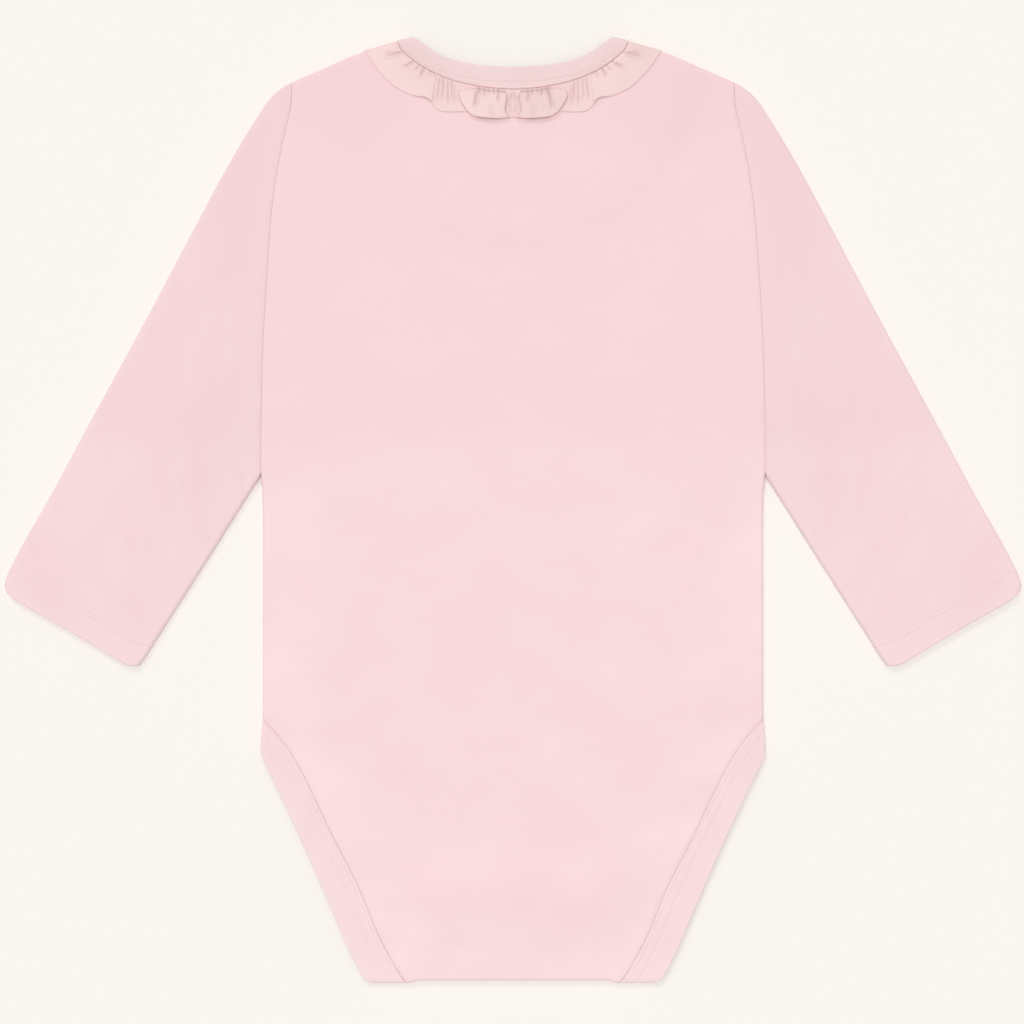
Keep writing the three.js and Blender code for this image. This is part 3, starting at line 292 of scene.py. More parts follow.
shoulder = curve_through(SHOULDER)
sleeve_outer = curve_through(SLEEVE_OUTER)
sleeve_inner = curve_through(SLEEVE_INNER)
armhole = curve_through(ARMHOLE)
cuff = curve_through(CUFF)
side = curve_through(SIDE)
hip = curve_through(HIP)
neck_seam = curve_through(NECK_SEAM)
neck_edge = curve_through(NECK_EDGE)
front_neck_seam = scoop(FRONT_SEAM_SCOOP)
front_neck_edge = scoop(FRONT_EDGE_SCOOP)
leg_seam = curve_through(LEG_SEAM)
leg_edge = curve_through(LEG_EDGE)
front_leg_seam = curve_through(FRONT_LEG_SEAM)
front_leg_edge = curve_through(FRONT_LEG_EDGE)
flap_seam = curve_through(FLAP_SEAM)
flap_edge = curve_through(FLAP_EDGE)


# Folded edges and open edges of the plan

def segments(curve, inside, count):
    """Straight pieces of a curve, each with the way that leads into the garment."""
    places = curve(np.linspace(0, 1, count + 1))
    a, b = places[:-1], places[1:]
    along = (b - a) / np.linalg.norm(b - a, axis=1, keepdims=True)
    normal = np.stack([-along[:, 1], along[:, 0]], -1)
    turn = np.sign(((np.array(inside) - a) * normal).sum(1, keepdims=True))
    return np.stack([a, b, normal * turn], 1)


CUFF_RUN_ON = 6
BODY_MIDDLE = (0, 0)
SLEEVE_MIDDLE = (160, 20)
armhole_line = segments(armhole, BODY_MIDDLE, 40)
cuff_line = segments(cuff, SLEEVE_MIDDLE, 20)
leg_seam_line = segments(leg_seam, BODY_MIDDLE, 40)
shoulder_folds = np.concatenate([
    segments(straight(NECK_EDGE[-1], NECK_SEAM[-1]), BODY_MIDDLE, 2),
    segments(shoulder, BODY_MIDDLE, 20),
    segments(sleeve_outer, SLEEVE_MIDDLE, 90),
    segments(run_on(sleeve_outer, CUFF_RUN_ON), SLEEVE_MIDDLE, 1),
])
side_folds = np.concatenate([
    segments(sleeve_inner, SLEEVE_MIDDLE, 30),
    segments(run_on(sleeve_inner, CUFF_RUN_ON), SLEEVE_MIDDLE, 1),
    segments(side, BODY_MIDDLE, 24),
    segments(hip, BODY_MIDDLE, 10),
])
crotch_folds = segments(straight((0, CROTCH_Y), LEG_EDGE[0]), BODY_MIDDLE, 2)
open_edges = np.concatenate([
    segments(neck_edge, BODY_MIDDLE, 16),
    segments(leg_edge, BODY_MIDDLE, 16),
    segments(cuff, SLEEVE_MIDDLE, 12),
])
body_folds = np.concatenate([shoulder_folds, side_folds])
all_edges = np.concatenate([body_folds, crotch_folds, open_edges])
long_seams = np.concatenate([armhole_line, leg_seam_line])
back_seams = np.concatenate([long_seams, segments(neck_seam, BODY_MIDDLE, 24)])
front_seams = np.concatenate([
    armhole_line,
    segments(front_leg_seam, BODY_MIDDLE, 30),
    segments(front_neck_seam, BODY_MIDDLE, 30),
    segments(straight((0, FRONT_END_Y), FRONT_LEG_SEAM[0]), BODY_MIDDLE, 2),
])
flap_seams = np.concatenate([
    segments(flap_seam, BODY_MIDDLE, 12),
    segments(straight((0, FLAP_END_Y), FLAP_SEAM[-1]), (0, CROTCH_Y), 2),
])


LEAST_INSIDE = 0.02


def nearest(lines, x, y):
    """Distance to the nearest of some segments, and the way into the garment there."""
    a, d, lead = lines[:, 0], lines[:, 1] - lines[:, 0], lines[:, 2]
    square_length = (d * d).sum(1)
    distance, inward = np.empty(len(x)), np.empty((len(x), 2))
    for start in range(0, len(x), CHUNK):
        part = slice(start, start + CHUNK)
        from_x, from_y = x[part, None] - a[:, 0], y[part, None] - a[:, 1]
        t = np.clip((from_x * d[:, 0] + from_y * d[:, 1]) / square_length, 0, 1)
        away_x, away_y = from_x - t * d[:, 0], from_y - t * d[:, 1]
        square = away_x**2 + away_y**2
        best = square.argmin(1)
        rows = np.arange(len(best))
        away = np.stack([away_x[rows, best], away_y[rows, best]], -1)
        far = np.sqrt(square[rows, best])
        inside = (away * lead[best]).sum(1) > LEAST_INSIDE
        distance[part] = far
        inward[part] = np.where(inside[:, None], away / np.maximum(far, TINY)[:, None], lead[best])
    return distance, inward


def edge_distance(lines, xy):
    return nearest(lines, np.abs(xy[:, 0]), xy[:, 1])[0]


# Creases: start, end, bow of the middle, half width, height. A negative height is a trough.

BACK_CREASES = [
    (-92, 168, -70, 120, 4, 7, 0.45), (-80, 172, -66, 146, -2, 5, -0.3), (93, 166, 72, 116, -4, 7, 0.4),
    (82, 174, 69, 150, 2, 5, -0.28), (-100, 96, -84, 30, 3, 6, 0.35), (101, 88, 87, 24, -3, 7, 0.36),
    (-103, 30, -60, 2, -6, 8, 0.42), (103, 26, 62, 4, 5, 8, 0.4), (-96, 8, -50, -16, -4, 6, -0.25),
    (97, 2, 54, -14, 4, 6, -0.22), (-40, 60, 36, 52, 7, 12, 0.22), (-30, 8, 48, 2, -6, 11, 0.2),
    (-52, -44, 18, -54, 8, 12, 0.22), (-86, -52, -74, -104, -3, 6, 0.3), (88, -58, 78, -106, 3, 7, 0.3),
    (-58, -120, -44, -164, 4, 7, 0.26), (60, -124, 47, -168, -4, 7, 0.24), (-14, -92, 10, -134, 3, 9, 0.18),
    (-30, 150, 4, 128, 5, 10, 0.2), (34, 132, 18, 92, -4, 9, 0.18),
    (-125, 128, -146, 86, 3, 6, 0.42), (-116, 70, -150, 26, -6, 7, 0.45), (-150, 60, -176, 16, 3, 6, -0.3),
    (-166, 20, -196, -30, -4, 6, 0.35), (-140, -4, -166, -40, 4, 7, 0.32), (-122, 8, -134, -14, 2, 5, 0.4),
    (124, 132, 147, 88, -3, 6, 0.4), (117, 66, 148, 22, 6, 7, 0.42), (152, 56, 174, 20, -3, 6, -0.28),
    (168, 16, 198, -28, 4, 6, 0.36), (141, -6, 164, -38, -4, 7, 0.32), (121, 10, 133, -12, -2, 5, 0.38),
]
FRONT_CREASES = [
    (-86, 160, -60, 104, 4, 7, -0.5), (84, 158, 58, 96, -5, 7, -0.48), (-102, 22, -52, -8, -6, 8, -0.55),
    (102, 20, 48, -4, 6, 8, -0.5), (-30, 60, 40, 44, 8, 11, -0.35), (-64, -40, 22, -60, 8, 11, -0.35),
    (-84, -70, -60, -118, -4, 7, -0.45), (86, -66, 62, -120, 4, 7, -0.45), (-12, -80, 8, -130, 3, 8, -0.3),
    (-122, 110, -150, 60, 4, 7, -0.5), (-134, 30, -170, -16, -5, 7, -0.5), (-176, -2, -198, -36, 4, 6, -0.4),
    (124, 112, 150, 64, -4, 7, -0.5), (132, 34, 168, -12, 5, 7, -0.5), (174, 0, 200, -34, -4, 6, -0.4),
]


CREASE_ENDS = 0.35  # share of a crease's length in which it rises
CREASE_TROUGH = {"depth": 0.35, "off": 1.7}  # beside a crease, in its own height and half width
CREASE_CLEAR = {"of_fold": 1, "fade": 9}


def crease_relief(table, x, y):
    """Height of all the creases of a table at some places of the plan."""
    relief = np.zeros(len(x))
    for x0, y0, x1, y1, bow, width, height in table:
        dx, dy = x1 - x0, y1 - y0
        length = math.hypot(dx, dy)
        t = ((x - x0) * dx + (y - y0) * dy) / length**2
        inside = np.clip(t, 0, 1)
        off = ((y - y0) * dx - (x - x0) * dy) / length - bow * 4 * inside * (1 - inside)
        ends = smooth(t / CREASE_ENDS) * smooth((1 - t) / CREASE_ENDS)
        trough = np.exp(-(((off - CREASE_TROUGH["off"] * width) / width) ** 2))
        relief += height * ends * (np.exp(-((off / width) ** 2)) - CREASE_TROUGH["depth"] * trough)
    return relief


# Layers

def neck_lift(x, y):
    half_width, top_y, depth = FRONT_RUFFLE_SCOOP
    reach = np.hypot(x / half_width, np.minimum(0, y - top_y) / depth)
    return NECK_LIFT["height"] * (1 - smooth((reach - NECK_LIFT["from"]) / NECK_LIFT["run"]))


def over_snaps(band, x, y):
    """1 over the row of snaps, 0 well away from it."""
    across = 1 - smooth((np.abs(x) - band["half_width"]) / band["fade"])
    return across * (1 - smooth((np.abs(y - SNAP_Y) - band["half_depth"]) / band["fade"]))


def over_flap(y):
    return 1 - smooth((y - FLAP_END_Y - FLAP_LIFT_REACH) / FLAP_LIFT_RUN)


def loft(x, y):
    return LOFT * smooth(nearest(all_edges, x, y)[0] / LOFT_RUN)


def back_rise(x, y):
    lift = BACK_FLAP_LIFT
    flap = lift["height"] * over_flap(y) * (1 - smooth((np.abs(x) - lift["half_width"]) / lift["fade"]))
    return neck_lift(x, y) + BACK_SNAP_LIFT * over_snaps(SNAP_BANDS["back"], x, y) + flap + loft(x, y)


def front_rise(x, y):
    snaps = FRONT_SNAP_LIFT * over_snaps(SNAP_BANDS["front"], x, y)
    return neck_lift(x, y) + FLAP_LIFT * over_flap(y) + snaps


def flap_rise(x, y):
    return FLAP_SNAP_LIFT * over_snaps(SNAP_BANDS["flap"], x, y)


back_folds = np.concatenate([body_folds, crotch_folds])
BACK = {"up": 1, "folds": back_folds, "rise": back_rise, "creases": BACK_CREASES}
FRONT = {"up": -1, "folds": body_folds, "rise": front_rise, "creases": FRONT_CREASES}
FLAP = {"up": -1, "folds": crotch_folds, "rise": flap_rise, "creases": []}
SLOPE_STEP = 0.5


def on_layer(layer, xy, height):
    """Places that stand at a height over a layer's outer face, also where that turns into a fold."""
    mirror = np.where(xy[:, 0] < 0, -1.0, 1.0)
    x, y = np.abs(xy[:, 0]), xy[:, 1]
    distance, inward = nearest(layer["folds"], x, y)
    within = np.clip(FOLD_RADIUS - distance, 0, FOLD_RADIUS)
    arc = np.sqrt(FOLD_RADIUS**2 - within**2)
    up, rise = layer["up"], layer["rise"]
    slope_x = (rise(x + SLOPE_STEP, y) - rise(x - SLOPE_STEP, y)) / (2 * SLOPE_STEP)
    slope_y = (rise(x, y + SLOPE_STEP) - rise(x, y - SLOPE_STEP)) / (2 * SLOPE_STEP)
    normal = np.stack([
        -within * inward[:, 0] - up * arc * slope_x,
        -within * inward[:, 1] - up * arc * slope_y,
        up * arc,
    ], -1)
    normal /= np.linalg.norm(normal, axis=1, keepdims=True)
    clear = smooth((distance - CREASE_CLEAR["of_fold"]) / CREASE_CLEAR["fade"])
    relief = crease_relief(layer["creases"], xy[:, 0], y) * clear
    if up < 0:
        relief = np.minimum(relief, 0)  # the cloth can only rise off the floor
    height = height + relief
    return np.stack([
        mirror * (x + normal[:, 0] * height),
        y + normal[:, 1] * height,
        FOLD_RADIUS + rise(x, y) + up * arc + normal[:, 2] * height,
    ], -1)


def on_fold(layer, xy, height):
    """The same on a folded edge itself, where two layers meet."""
    mirror = np.where(xy[:, 0] < 0, -1.0, 1.0)
    x, y = np.abs(xy[:, 0]), xy[:, 1]
    inward = nearest(layer["folds"], x, y)[1]
    return np.stack([
        xy[:, 0] - mirror * inward[:, 0] * height,
        y - inward[:, 1] * height,
        FOLD_RADIUS + layer["rise"](x, y),
    ], -1)


def hung(points):
    """Points drawn down at the two ends of the crotch's fold, where the leg openings begin."""
    low = smooth((CROTCH_Y + LEG_HANG["up_to"] - points[..., 1:2]) / LEG_HANG["up_to"])
    outside = smooth((np.abs(points[..., :1]) - LEG_HANG["x"] + LEG_HANG["fade"]) / LEG_HANG["fade"])
    return points - LEG_HANG["depth"] * low * outside * [0, 1, 0]


# Meshes

def grid_faces(rows, columns, closed=False, first=0):
    """Faces of a grid of points, in rows of equal length, closed round the rows or not."""
    near = first + np.arange(rows - 1)[:, None] * columns
    j = np.arange(columns if closed else columns - 1)[None]
    after = (j + 1) % columns
    corners = [near + j, near + after, near + columns + after, near + columns + j]
    return np.stack([np.broadcast_to(c, (rows - 1, j.shape[1])) for c in corners], -1).reshape(-1, 4)


def shell(outer, inner, faces):
    """A closed cloth from its outer points, its inner points and the faces of the outer side."""
    count = len(outer)
    edges = np.concatenate([faces[:, [k, (k + 1) % 4]] for k in range(4)])
    rim = edges[~np.isin(edges[:, 0] * count + edges[:, 1], edges[:, 1] * count + edges[:, 0])]
    walls = np.stack([rim[:, 1], rim[:, 0], rim[:, 0] + count, rim[:, 1] + count], -1)
    return np.concatenate([outer, inner]), np.concatenate([faces, faces[:, ::-1] + count, walls])


# Tone of the cloth, as how much paler it is: worn edges, and painted light and shade
WORN_EDGE = {"paler": 0.2, "width": 2.0}
# Painted shade along the long seams: how much deeper the cloth is there, and its width
PAINTED_SEAM_SHADE = {"deeper": 0.28, "width": 0.6}
# Painted light: the cloth paler beside the leg seams below the hips
PAINTED_LIGHT_BY_LEGS = {"paler": 0.2, "full_to": 12, "fade": 16, "below": -92, "run": 24}
# Painted light and shade: the cloth a little paler low on the body and deeper higher up
PAINTED_LIGHT_GRADIENT = {"low": 0.08, "less_above": 0.18, "from": 20, "run": 22}
# Painted light and shade in soft patches: deeper on the shoulders, the tops of the sleeves, a cuff's corner,
# the sleeve, the underarm and the snap row, paler on the sides and on the slope below the snaps. Each:
# middle, half width and half height, and how much paler the cloth is there
PAINTED_LIGHT_PATCHES = [
    (78, 186, 34, 26, -0.34), (122, 148, 13, 32, -0.26), (206, -24, 15, 26, -0.26), (0, -174, 36, 12, -0.2),
    (0, -201, 52, 9, 0.5), (104, -30, 20, 60, 0.16), (152, 22, 34, 34, -0.16), (88, 40, 22, 34, -0.08),
]


def wear_and_painted_light(x, y):
    """How much paler the cloth is at places of the plan: worn edges, painted shade along the long seams, and
    painted light and shade beside the legs, over the whole body and in soft patches.
    """
    x = np.abs(x)
    tone = WORN_EDGE["paler"] * np.exp(-((nearest(all_edges, x, y)[0] / WORN_EDGE["width"]) ** 2))
    # Painted shade along the long seams
    tone -= PAINTED_SEAM_SHADE["deeper"] * np.exp(-((nearest(long_seams, x, y)[0] / PAINTED_SEAM_SHADE["width"]) ** 2))
    # Painted light beside the leg seams, below the hips
    beside_leg = 1 - smooth((nearest(leg_seam_line, x, y)[0] - PAINTED_LIGHT_BY_LEGS["full_to"]) / PAINTED_LIGHT_BY_LEGS["fade"])
    tone += PAINTED_LIGHT_BY_LEGS["paler"] * beside_leg * smooth((PAINTED_LIGHT_BY_LEGS["below"] - y) / PAINTED_LIGHT_BY_LEGS["run"])
    # Painted light and shade: paler low down, deeper higher up
    upper = smooth((y - PAINTED_LIGHT_GRADIENT["from"]) / PAINTED_LIGHT_GRADIENT["run"])
    tone += PAINTED_LIGHT_GRADIENT["low"] - PAINTED_LIGHT_GRADIENT["less_above"] * upper
    # Painted light and shade in soft patches
    for middle_x, middle_y, half_width, half_height, paler in PAINTED_LIGHT_PATCHES:
        tone += paler * np.exp(-(((x - middle_x) / half_width) ** 2) - ((y - middle_y) / half_height) ** 2)
    return tone


def piece(name, points, faces, uv, material, nodes=(), tone=None):
    """A smooth-shaded object in metres from points in millimetres, with its faces turned outwards."""
    corners = points[faces]
    volume = (corners[:, 0] * np.cross(corners[:, 1], corners[:, 2])).sum()
    volume += (corners[:, 0] * np.cross(corners[:, 2], corners[:, 3])).sum()
    if volume < 0:
        faces = faces[:, ::-1]
    # A four-sided face that names a corner twice is a triangle
    loops = [list(dict.fromkeys(face)) for face in faces.tolist()]
    mesh = bpy.data.meshes.new(name)
    mesh.from_pydata((points * MM).tolist(), [], loops)
    layer = mesh.uv_layers.new(name="UVMap")
    layer.data.foreach_set("uv", (uv[np.concatenate(loops)] * MM).astype(np.float32).ravel())
    paler = wear_and_painted_light(points[:, 0], points[:, 1]) if tone is None else tone
    mesh.attributes.new("paler", "FLOAT", "POINT").data.foreach_set("value", paler.astype(np.float32))
    mesh.shade_smooth()
    mesh.materials.append(material)
    made = bpy.data.objects.new(name, mesh)
    bpy.context.collection.objects.link(made)
    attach(made, "root")
    if nodes:
        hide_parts(*nodes)
    return made


# Materials

def shade(hex_colour):
    """A colour as linear values."""
    parts = [int(hex_colour[k:k + 2], 16) / 255 for k in (1, 3, 5)]
    return [c / 12.92 if c <= 0.04045 else ((c + 0.055) / 1.055) ** 2.4 for c in parts] + [1]


class Nodes:
    """A material's node tree, with short calls for the nodes that it uses."""

    def __init__(self, name):
        self.material = bpy.data.materials.new(name)
        self.material.use_nodes = True
        self.tree = self.material.node_tree
        self.shader = self.tree.nodes["Principled BSDF"]

    def add(self, kind, inputs=None, **settings):
        node = self.tree.nodes.new(kind)
        for key, value in settings.items():
            setattr(node, key, value)
        for key, value in (inputs or {}).items():
            self.feed(node.inputs[key], value)
        return node

    def feed(self, socket, value):
        if isinstance(value, bpy.types.NodeSocket):
            self.tree.links.new(value, socket)
        else:
            socket.default_value = value

    def math(self, operation, a, b=0.0):
        return self.add("ShaderNodeMath", {0: a, 1: b}, operation=operation).outputs[0]

    def noise(self, vector, scale, stretch=(1, 1, 1), detail=2.0):
        mapped = self.add("ShaderNodeMapping", {"Vector": vector, "Scale": stretch}).outputs[0]
        node = self.add("ShaderNodeTexNoise", {"Vector": mapped, "Scale": scale, "Detail": detail})
        return node.outputs["Fac"]

    def spread(self, value, low, high):
        """A noise value, which stays near a half, spread between two numbers."""
        start, end = NOISE_RANGE
        return self.add("ShaderNodeMapRange", {"Value": value, 1: start, 2: end, 3: low, 4: high}).outputs[0]

    def total(self, first, *others):
        for other in others:
            first = self.math("ADD", first, other)
        return first

    def scaled(self, value, factor):
        return self.math("MULTIPLY", value, factor)

    def pattern_place(self):
        """The place on the flat cloth, whole and as its two parts."""
        uv = self.add("ShaderNodeUVMap", uv_map="UVMap").outputs[0]
        parts = self.add("ShaderNodeSeparateXYZ", {0: uv})
        return uv, parts.outputs[0], parts.outputs[1]

    def colour(self, share, deep, pale):
        inputs = {0: share, 6: shade(deep), 7: shade(pale)}
        return self.add("ShaderNodeMix", inputs, data_type="RGBA").outputs[2]

    def relief(self, height, strength, depth):
        inputs = {"Strength": strength, "Distance": depth, "Height": height}
        return self.add("ShaderNodeBump", inputs).outputs[0]

    def finish(self, inputs):
        for key, value in inputs.items():
            self.feed(self.shader.inputs[key], value)
        return self.material


NOISE_RANGE = (0.3, 0.7)
# Knit: stitches in metres, then how its parts change the tone and the height
WALE = 0.00075
COURSE = 0.0006
STITCH_SLANT = 1.1
STITCH_DEPTH = 0.25
COLUMN_FALL = 3.2
SLUB = {"stretch": (70, 800, 1), "tone": 0.05, "height": 0.25}
MOTTLE = {"scale": 26.0, "stretch": (1, 1.4, 1), "tone": 0.14, "on_wear_and_light": (0.7, 1.3), "rough": (0.86, 0.95)}
FIBRE = {"scale": 1900.0, "tone": 0.06, "height": 0.5}
LOOPS = {"middle": 0.55, "tone": 0.2, "height": 0.6}
KNIT_BUMP = {"strength": 0.3, "depth": 0.0002}
NAP = {
    "Specular IOR Level": 0.25, "Sheen Weight": 0.35, "Sheen Roughness": 0.45, "Sheen Tint": shade("#fff4f2"),
}
THREAD_TWIST = (9000.0, 4500.0)
THREAD_BUMP = {"strength": 0.4, "depth": 0.0001}
ENAMEL_BUMP = {"strength": 0.12, "depth": 0.0001}


def knit(name, pale, deep, rib=1.0):
    """A fine cotton knit: small V stitches in rows, faint slubs and a soft nap, paler where worn, with
    painted light and shade from the paler attribute.
    """
    n = Nodes(name)
    uv, across, down = n.pattern_place()
    wale = n.math("FRACT", n.math("DIVIDE", across, WALE * rib))
    leg = n.math("ABSOLUTE", n.math("SUBTRACT", wale, 0.5))
    course = n.total(n.math("DIVIDE", down, COURSE), n.scaled(leg, STITCH_SLANT))
    stitch = n.math("SINE", n.scaled(course, 2 * math.pi))
    column = n.math("SUBTRACT", 1.0, n.scaled(n.math("POWER", leg, 2.0), COLUMN_FALL))
    loops = n.scaled(n.total(n.scaled(stitch, STITCH_DEPTH), 1 - STITCH_DEPTH), column)

    slub = n.noise(uv, 1.0, SLUB["stretch"], 3.0)
    mottle = n.noise(uv, MOTTLE["scale"], MOTTLE["stretch"], 3.0)
    fibre = n.noise(uv, FIBRE["scale"])
    paler = n.add("ShaderNodeAttribute", attribute_name="paler").outputs["Fac"]
    spreads = [n.spread(noise, -kind["tone"], kind["tone"])
               for noise, kind in ((slub, SLUB), (mottle, MOTTLE), (fibre, FIBRE))]
    loop_tone = n.scaled(n.math("SUBTRACT", loops, LOOPS["middle"]), LOOPS["tone"])
    # The paler attribute carries worn edges and painted light and shade
    tone = n.total(*spreads, loop_tone, n.scaled(paler, n.spread(mottle, *MOTTLE["on_wear_and_light"])), 0.5)
    share = n.add("ShaderNodeClamp", {"Value": tone}).outputs[0]
    height = n.total(*[n.scaled(part, kind["height"])
                       for part, kind in ((loops, LOOPS), (fibre, FIBRE), (slub, SLUB))])
    return n.finish({
        "Base Color": n.colour(share, deep, pale),
        "Roughness": n.spread(mottle, *MOTTLE["rough"]),
        "Normal": n.relief(height, **KNIT_BUMP),
        **NAP,
    })


def thread(name, pale, deep):
    """Sewing thread: a smooth twist."""
    n = Nodes(name)
    _, across, down = n.pattern_place()
    twist = n.total(n.scaled(across, THREAD_TWIST[0]), n.scaled(down, THREAD_TWIST[1]))
    strands = n.scaled(n.total(n.math("SINE", twist), 1.0), 0.5)
    return n.finish({
        "Base Color": n.colour(strands, deep, pale),
        "Normal": n.relief(strands, **THREAD_BUMP),
        "Roughness": 0.6,
        "Sheen Weight": 0.2,
    })


def snap_finish(name, pale, deep):
    """Satin enamel with a faint unevenness."""
    n = Nodes(name)
    cloud = n.noise(n.add("ShaderNodeTexCoord").outputs["Object"], 700.0)
    return n.finish({
        "Base Color": n.colour(n.spread(cloud, 0, 1), deep, pale),
        "Roughness": n.spread(cloud, 0.32, 0.45),
        "Normal": n.relief(cloud, **ENAMEL_BUMP),
    })


jersey = knit("jersey_knit", "#fee2e4", "#f6d3d6")
sleeve_knit = knit("sleeve_knit", "#fce1e2", "#f4d2d4")
leg_knit = knit("leg_knit", "#fbe0e2", "#f2d1d3", rib=1.15)
binding_knit = knit("binding_knit", "#f7dfdf", "#edcfcf", rib=1.15)
# Its deep colour is also the painted shade in the ruffle's gathers and along its folds
ruffle_knit = knit("ruffle_knit", "#f9dcdb", "#dcbebc")
pink_thread = thread("pink_thread", "#ffefee", "#f6dcdb")
snap_enamel = snap_finish("snap_enamel", "#f2d5d7", "#ebcacd")


# Body panels

NECK_SHARE = 0.5
FORK_SHARE = 0.62
FRONT_END_SHARE = 0.305
HALF_WIDTH = 111
PANEL_LENGTH = 390
# How finely the cloth is divided
HALF_COLUMNS = 32
BACK_ROWS = 150
FRONT_ROWS = 140
FLAP_ROWS = 22


def spaced(start, end, count):
    """Even places between two, both left out."""
    return np.linspace(start, end, count + 2)[1:-1]


def graded(length, count, before=True, after=True):
    """Shares of a length, close together beside the folds at its ends."""
    steps = FOLD_STEPS / length
    first = steps[-1] if before else 0
    last = 1 - steps[-1] if after else 1
    parts = [[0]]
    parts += [steps] if before else []
    parts += [spaced(first, last, count)]
    parts += [1 - steps[::-1]] if after else []
    return np.concatenate([*parts, [1]])


half_columns = np.concatenate([
    np.linspace(0, NECK_SHARE, HALF_COLUMNS)[:-1],
    mix(NECK_SHARE, 1, graded(HALF_WIDTH / 2, HALF_COLUMNS, before=False)),
])
columns = np.concatenate([-half_columns[:0:-1], half_columns])


def panel_sides(neck, lower_end, leg, end_share):
    """Top, bottom, left and right of a panel, from the half curves of its neck, its lower end and its leg."""
    top_half = joined(neck, shoulder, NECK_SHARE)
    bottom_half = joined(straight((0, lower_end[1]), lower_end), leg, end_share)
    right = joined(shifted(armhole, -HALF_GAP), side, FORK_SHARE)

    def whole(half):
        def curve(u):
            return half(np.abs(2 * u - 1)) * np.stack([np.where(u < 0.5, -1.0, 1.0), np.ones_like(u)], -1)

        return curve

    return whole(top_half), whole(bottom_half), lambda v: right(v) * np.array([-1, 1]), right


def coons(sides, u, v):
    """Places inside four curves: top and bottom run left to right, left and right run down."""
    top, bottom, left, right = sides
    across, down = u[..., None], v[..., None]
    zero, one = np.zeros(1), np.ones(1)
    corners = mix(mix(top(zero), top(one), across), mix(bottom(zero), bottom(one), across), down)
    return mix(top(u), bottom(u), down) + mix(left(v), right(v), across) - corners


SEAM_DIP = {"depth": 0.26, "width": 0.9}
SEAM_WELT = {"height": 0.13, "off": 2.5, "width": 1.3}
# Puckers come every few millimetres, drift along the seam and swell and fade slowly
PUCKERS = {"height": 0.09, "width": 3.5, "length": 4.7}
PUCKER_DRIFT = {"by": 1.6, "over": 7.3}
PUCKER_SWELL = {"least": 0.6, "by": 0.4, "over": 19}


def seam_relief(distance, y):
    """The cloth beside a seam: it dips into the seam, with a soft welt and small puckers next to it."""
    dip = -SEAM_DIP["depth"] * np.exp(-((distance / SEAM_DIP["width"]) ** 2))
    welt = SEAM_WELT["height"] * np.exp(-(((distance - SEAM_WELT["off"]) / SEAM_WELT["width"]) ** 2))
    phase = 2 * math.pi * y / PUCKERS["length"] + PUCKER_DRIFT["by"] * np.sin(y / PUCKER_DRIFT["over"])
    swell = PUCKER_SWELL["least"] + PUCKER_SWELL["by"] * np.sin(y / PUCKER_SWELL["over"])
    wave = np.sin(phase) * swell
    return dip + welt + PUCKERS["height"] * wave * np.exp(-((distance / PUCKERS["width"]) ** 2))


def panel(layer, sides, rows, seams, turns_under):
    """Outer and inner points of a panel, and its pattern places."""
    u, v = np.meshgrid((columns + 1) / 2, rows)
    xy = coons(sides, u, v).reshape(-1, 2)
    distance = edge_distance(seams, xy)
    rim = drop(distance, RIM)
    relief = seam_relief(distance, xy[:, 1]) if layer["up"] > 0 else 0
    turning = turns_under & (v.ravel() == 1) & (np.abs(2 * u.ravel() - 1) <= NECK_SHARE)
    middle = FOLD_RADIUS + layer["rise"](np.abs(xy[:, 0]), xy[:, 1]) + layer["up"] * HALF_GAP
    clamped = np.maximum if layer["up"] > 0 else np.minimum
    made = []
    for height, plain in ((relief - rim, 0), (rim - CLOTH, -CLOTH)):
        height = np.where(turning, plain, height)
        places = on_layer(layer, xy, height)
        places[:, 2] = clamped(places[:, 2], middle)
        if turns_under:
            places[turning] = on_fold(layer, xy[turning], height[turning])
        made.append(places)
    return made[0], made[1], xy


def back_panel():
    lower_end = LEG_SEAM[0][0] - HALF_GAP, CROTCH_Y
    neck, leg = shifted(neck_seam, -HALF_GAP), shifted(leg_seam, HALF_GAP)
    sides = panel_sides(neck, lower_end, leg, NECK_SHARE)
    rows = graded(PANEL_LENGTH, BACK_ROWS)
    outer, inner, xy = panel(BACK, sides, rows, back_seams, True)
    faces = grid_faces(len(rows), len(columns))
    turning = np.flatnonzero(np.abs(columns) <= NECK_SHARE)
    fold_row = len(outer) - len(columns) + turning
    flap_rows = graded(FLAP_END_Y - CROTCH_Y, FLAP_ROWS, after=False)[1:]
    edge = shifted(flap_seam, HALF_GAP)(flap_rows)
    flap_x = edge[:, None, 0] * columns[turning] / NECK_SHARE
    flap_y = np.broadcast_to(edge[:, None, 1], flap_x.shape)
    flap_xy = np.stack([flap_x.ravel(), flap_y.ravel()], -1)
    rim = drop(edge_distance(flap_seams, flap_xy), RIM)
    start = len(outer)
    flap_row = start + np.arange(len(turning))
    turn = np.stack([fold_row[:-1], fold_row[1:], flap_row[1:], flap_row[:-1]], -1)
    faces = np.concatenate([faces, turn, grid_faces(len(flap_rows), len(turning), first=start)])
    outer = np.concatenate([outer, on_layer(FLAP, flap_xy, -rim)])
    inner = np.concatenate([inner, on_layer(FLAP, flap_xy, -CLOTH + rim)])
    pattern = np.concatenate([xy, flap_xy * [1, -1] + [0, 2 * CROTCH_Y]])
    points, faces = shell(hung(outer), hung(inner), faces)
    return piece("back", points, faces, np.tile(pattern, (2, 1)), jersey, ["back_panel"])


